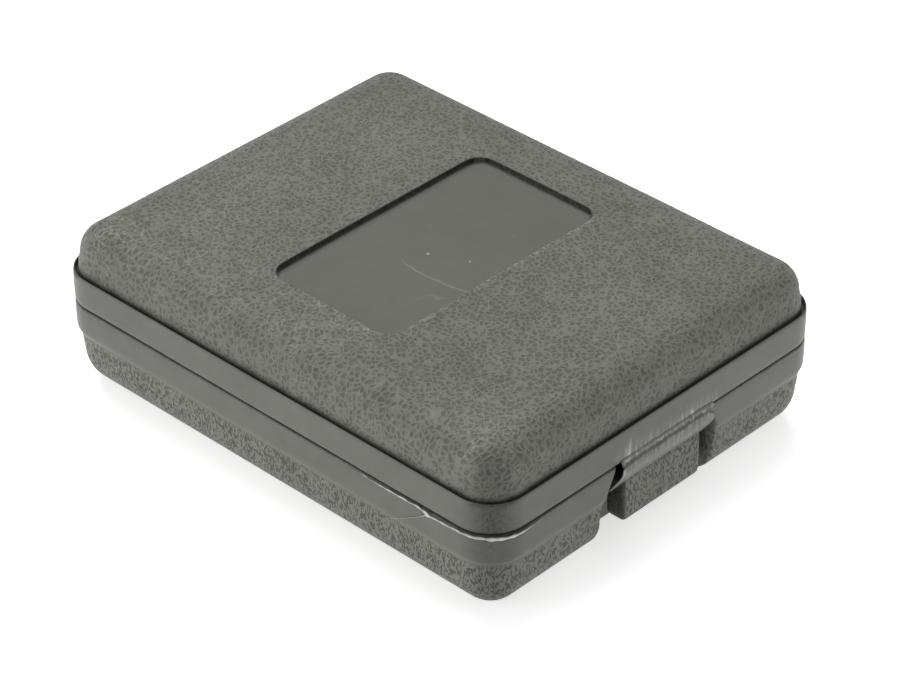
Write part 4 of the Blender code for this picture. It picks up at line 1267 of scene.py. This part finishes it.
def reverse_lever_tool():
    """A round hub whose radius swells into a thumb tab on the handle's side."""
    pivot = RATCHET_AT + (0, PAWL_Y, 0)
    a = around(96)
    lean = math.radians(10)
    off = np.mod(a - lean, 2 * math.pi) - math.pi
    r = 4.3 + 5.7 * np.exp(-(off / math.radians(19)) ** 4)
    rows = []
    for z, k in ((6.32, 0.05), (6.3, 0.9), (6.5, 0.98), (7.0, 1.0), (8.1, 1.0), (8.6, 0.97),
                 (8.9, 0.90), (9.0, 0.80), (8.8, 0.5), (8.75, 0.05)):
        ridge = 0.18 * np.cos(r * 5.0) * (r > 6) * (z > 8.3)
        rows.append(np.stack([k * r * np.sin(a), k * r * np.cos(a), z + ridge], axis=-1))
    lever = solid("reverse_tab", np.array(rows) + pivot, "ratchet_reverser",
                  finish("chrome_plate"), slot="chrome", stands_for=("reverse_lever",))
    lever.data.set_sharp_from_angle(angle=math.radians(40))


def fork_ear(name, side, turn, body):
    """One ear of a universal joint: a flat inner face, a round outer one, a round end."""
    inner, outer, half, tip = 3.6, 6.25, 2.6, 1.2
    s = np.concatenate([np.linspace(-8.7, tip, 8),
                        tip + half * np.sin(np.linspace(0, np.pi / 2, 12))[1:]])
    over = np.clip((s - tip) / half, 0, 0.999)
    h = half * np.sqrt(1 - over ** 2)
    u = np.concatenate([np.linspace(-1, 1, 9), np.linspace(1, -1, 15)])
    flat = np.arange(len(u)) < 9
    y = h[:, None] * u[None, :]
    x = np.where(flat[None, :], inner, np.sqrt(outer ** 2 - y ** 2))
    local = np.stack([side * x, y, np.broadcast_to(s[:, None], y.shape)], axis=-1)
    ear = solid(name, local @ turn.T + UNIVERSAL_AT, body, finish("chrome_plate"), slot="chrome")
    ear.data.set_sharp_from_angle(angle=EDGE_ANGLE)


def universal_tool():
    theta = around()
    hole = square_hole(theta, DRIVE_HOLE)
    rings = [(-12.0, hole), (-20.4, hole), (-21.0, np.maximum(hole, 4.5)), (-21.0, 5.6),
             (-20.8, 6.0), (-20.3, 6.25), *groove(-18.4, 6.25), (-9.2, 6.25), (-8.6, 6.1),
             (-8.2, 5.5)]
    turned("universal_socket_end", rings, UNIVERSAL_AT, LYING, "base", finish("chrome_plate"),
           "chrome", stands_for=("universal_socket_fork",))
    rings = [(-21.0, square_hole(theta, DRIVE - 1.3)), (-20.3, square_hole(theta)),
             (-13.0, square_hole(theta)), (-13.0, 5.6), (-12.8, 6.0), (-12.3, 6.25),
             (-9.2, 6.25), (-8.6, 6.1), (-8.2, 5.5)]
    turned("universal_drive_end", rings, UNIVERSAL_AT, FACING, "universal_drive",
           finish("chrome_plate"), "chrome", stands_for=("universal_drive_fork",))
    for side, word in ((-1, "a"), (1, "b")):
        fork_ear("socket_ear_" + word, side, LYING, "base")
        fork_ear("drive_ear_" + word, side, FACING, "universal_drive")


def t_bar_tool():
    theta = around()
    ends = [(-55.0, 1.4), (-54.85, 2.2), (-54.4, 2.75), (-53.8, 3.0), (-51.6, 3.0),
            (-51.3, 2.6), (-50.2, 2.6), (-49.9, 3.0)]
    turned("t_bar_handle", ends + [(-s, r) for s, r in ends[::-1]], TBAR_AT, ACROSS, "base",
           finish("chrome_plate"), "chrome", stands_for=("t_bar_rod",))
    rings = [(6.4, 5.0), (6.3, 5.7), (5.8, 6.2), (5.2, 6.4), (4.2, 6.4), (4.0, 6.2), (3.6, 6.2),
             (3.4, 6.4), (-5.0, 6.4), *drive_end(theta, -5.7, -6.2, -13.8, 6.1)]
    turned("t_bar_slide_head", rings, TBAR_AT, UPRIGHT, "t_bar_slider",
           finish("chrome_plate"), "chrome", stands_for=("t_bar_head",))


# ---------------------------------------------------------------- operators

class SOCKETSET_OT_lid(bpy.types.Operator):
    """Build the lid"""
    bl_idname = "socket_set.lid"
    bl_label = "Lid"

    def execute(self, context):
        lid_mesh()
        label_floor()
        return {"FINISHED"}


class SOCKETSET_OT_base(bpy.types.Operator):
    """Build the base"""
    bl_idname = "socket_set.base"
    bl_label = "Base"

    def execute(self, context):
        base_mesh()
        parting_flash()
        return {"FINISHED"}


class SOCKETSET_OT_tray(bpy.types.Operator):
    """Build the tray and its hollows"""
    bl_idname = "socket_set.tray"
    bl_label = "Tray"

    def execute(self, context):
        tray_mesh()
        return {"FINISHED"}


class SOCKETSET_OT_latch(bpy.types.Operator):
    """Build the latch: flange, block and living hinge"""
    bl_idname = "socket_set.latch"
    bl_label = "Latch"

    def execute(self, context):
        latch_flange()
        latch_block()
        latch_web()
        return {"FINISHED"}


class SOCKETSET_OT_hinge(bpy.types.Operator):
    """Build the knuckles of both hinges"""
    bl_idname = "socket_set.hinge"
    bl_label = "Hinges"

    def execute(self, context):
        for side, centre in zip(("left", "right"), HINGE_XS):
            knuckle("knuckle_%s_a" % side, centre, -12.0, -4.3, True, "base")
            knuckle("knuckle_%s_b" % side, centre, 4.3, 12.0, True, "base")
            knuckle("knuckle_%s_lid" % side, centre, -4.0, 4.0, False, "lid")
        return {"FINISHED"}


class SOCKETSET_OT_small_parts(bpy.types.Operator):
    """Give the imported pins, balls, gear, pawl, cover and cross their finishes"""
    bl_idname = "socket_set.small_parts"
    bl_label = "Small Parts"

    def execute(self, context):
        slots = {row["node"]: row["material_slot"] for row in frame["record"]["subparts"]}
        finishes = {"chrome": "chrome_plate", "steel": "plain_steel", "grip": "black_grip",
                    "case": "base_plastic"}
        for node, obj in frame["nodes"].items():
            obj.data.materials.clear()
            obj.data.materials.append(finish(finishes[slots[node]]))
        return {"FINISHED"}


class SOCKETSET_OT_handles(bpy.types.Operator):
    """Build the ratchet, spinner, extension, universal joint and T-bar"""
    bl_idname = "socket_set.handles"
    bl_label = "Handles"

    def execute(self, context):
        ratchet_tool()
        reverse_lever_tool()
        spinner_tool()
        extension_tool()
        universal_tool()
        t_bar_tool()
        return {"FINISHED"}


class SOCKETSET_OT_sockets(bpy.types.Operator):
    """Build the twelve sockets"""
    bl_idname = "socket_set.sockets"
    bl_label = "Sockets"

    def execute(self, context):
        for size in SOCKET_SIZES:
            socket_tool(size)
        return {"FINISHED"}


class SOCKETSET_OT_stage(bpy.types.Operator):
    """Set the floor, the soft lights and the camera"""
    bl_idname = "socket_set.stage"
    bl_label = "Stage"

    def execute(self, context):
        s = context.scene.socket_set_stage
        mesh = bpy.data.meshes.new("floor")
        mesh.from_pydata([(-3, -3, 0), (3, -3, 0), (3, 3, 0), (-3, 3, 0)], [], [(0, 1, 2, 3)])
        floor = bpy.data.objects.new("floor", mesh)
        context.scene.collection.objects.link(floor)
        f = Finish("studio_floor", Roughness=0.75, Specular_IOR_Level=0.2,
                   Emission_Strength=0.62)
        f.shader.inputs["Base Color"].default_value = (*s.floor, 1.0)
        f.shader.inputs["Emission Color"].default_value = (1.0, 1.0, 1.0, 1.0)
        mesh.materials.append(f.material)

        def soft_box(name, place_at, aim, size, power, tint=(1.0, 1.0, 1.0)):
            light = bpy.data.lights.new(name, "AREA")
            light.shape, light.size, light.size_y = "RECTANGLE", *size
            light.energy, light.color = power, tint
            lamp = bpy.data.objects.new(name, light)
            lamp.location = place_at
            towards = Vector(aim) - Vector(place_at)
            lamp.rotation_euler = towards.to_track_quat("-Z", "Y").to_euler()
            context.scene.collection.objects.link(lamp)

        soft_box("soft_box_left", (-1.3, 0.75, 0.45), (0, 0, 0.03), (1.1, 0.8), s.key)
        soft_box("soft_box_right", (1.0, -1.2, 0.45), (0, 0, 0.03), (1.0, 0.8), s.fill)
        soft_box("soft_box_top", (0.35, 0.55, 1.25), (0, 0, 0.03), (1.2, 1.2), s.top)
        world = bpy.data.worlds.new("studio")
        world.use_nodes = True
        tree = world.node_tree
        towards = make(tree, "ShaderNodeTexCoord")["Generated"]
        height = make(tree, "ShaderNodeSeparateXYZ", None, {0: towards})["Z"]
        tree.nodes["Background"].inputs["Color"].default_value = (1.0, 1.0, 0.98, 1.0)
        tree.links.new((height.rise(0.15, 0.95) * 0.42 + 0.04).socket,
                       tree.nodes["Background"].inputs["Strength"])
        context.scene.world = world
        context.scene.view_settings.view_transform = "Standard"

        camera = bpy.data.cameras.new("camera")
        camera.lens, camera.sensor_width = s.lens, 36.0
        camera.clip_start, camera.clip_end = 0.05, 20.0
        eye = bpy.data.objects.new("camera", camera)
        context.scene.collection.objects.link(eye)
        at, aim = Vector((-0.6365, -0.6209, 0.6391)), Vector((0.00225, -0.00335, 0.02175))
        forward = (aim - at).normalized()
        right = forward.cross(Vector((0, 0, 1))).normalized()
        up = right.cross(forward)
        roll = math.radians(-0.3575)
        right, up = (right * math.cos(roll) + up * math.sin(roll),
                     up * math.cos(roll) - right * math.sin(roll))
        turn = Matrix((right, up, -forward)).transposed().to_4x4()
        turn.translation = at
        eye.matrix_world = turn
        context.scene.camera = eye
        return {"FINISHED"}


OPERATORS = (SOCKETSET_OT_base, SOCKETSET_OT_tray, SOCKETSET_OT_lid, SOCKETSET_OT_latch,
             SOCKETSET_OT_hinge, SOCKETSET_OT_small_parts, SOCKETSET_OT_handles,
             SOCKETSET_OT_sockets, SOCKETSET_OT_stage)


class SOCKETSET_PT_panel(bpy.types.Panel):
    """Buttons and settings in the 3D view's sidebar"""
    bl_idname = "SOCKETSET_PT_panel"
    bl_label = "Socket Set"
    bl_space_type = "VIEW_3D"
    bl_region_type = "UI"
    bl_category = "Socket Set"

    def draw(self, context):
        for operator in OPERATORS:
            self.layout.operator(operator.bl_idname)
        for group in GROUPS:
            box = self.layout.box()
            for name in group.__annotations__:
                box.prop(getattr(context.scene, GROUPS[group]), name)


GROUPS = {SocketSetCase: "socket_set_case", SocketSetTools: "socket_set_tools",
          SocketSetStage: "socket_set_stage"}
CLASSES = (*GROUPS, *OPERATORS, SOCKETSET_PT_panel)


def register():
    for cls in CLASSES:
        bpy.utils.register_class(cls)
    for group, name in GROUPS.items():
        setattr(bpy.types.Scene, name, PointerProperty(type=group))


def unregister():
    for name in GROUPS.values():
        delattr(bpy.types.Scene, name)
    for cls in reversed(CLASSES):
        bpy.utils.unregister_class(cls)


def main():
    register()
    for operator in OPERATORS:
        group, name = operator.bl_idname.split(".")
        getattr(getattr(bpy.ops, group), name)()


if __name__ == "__main__":
    main()
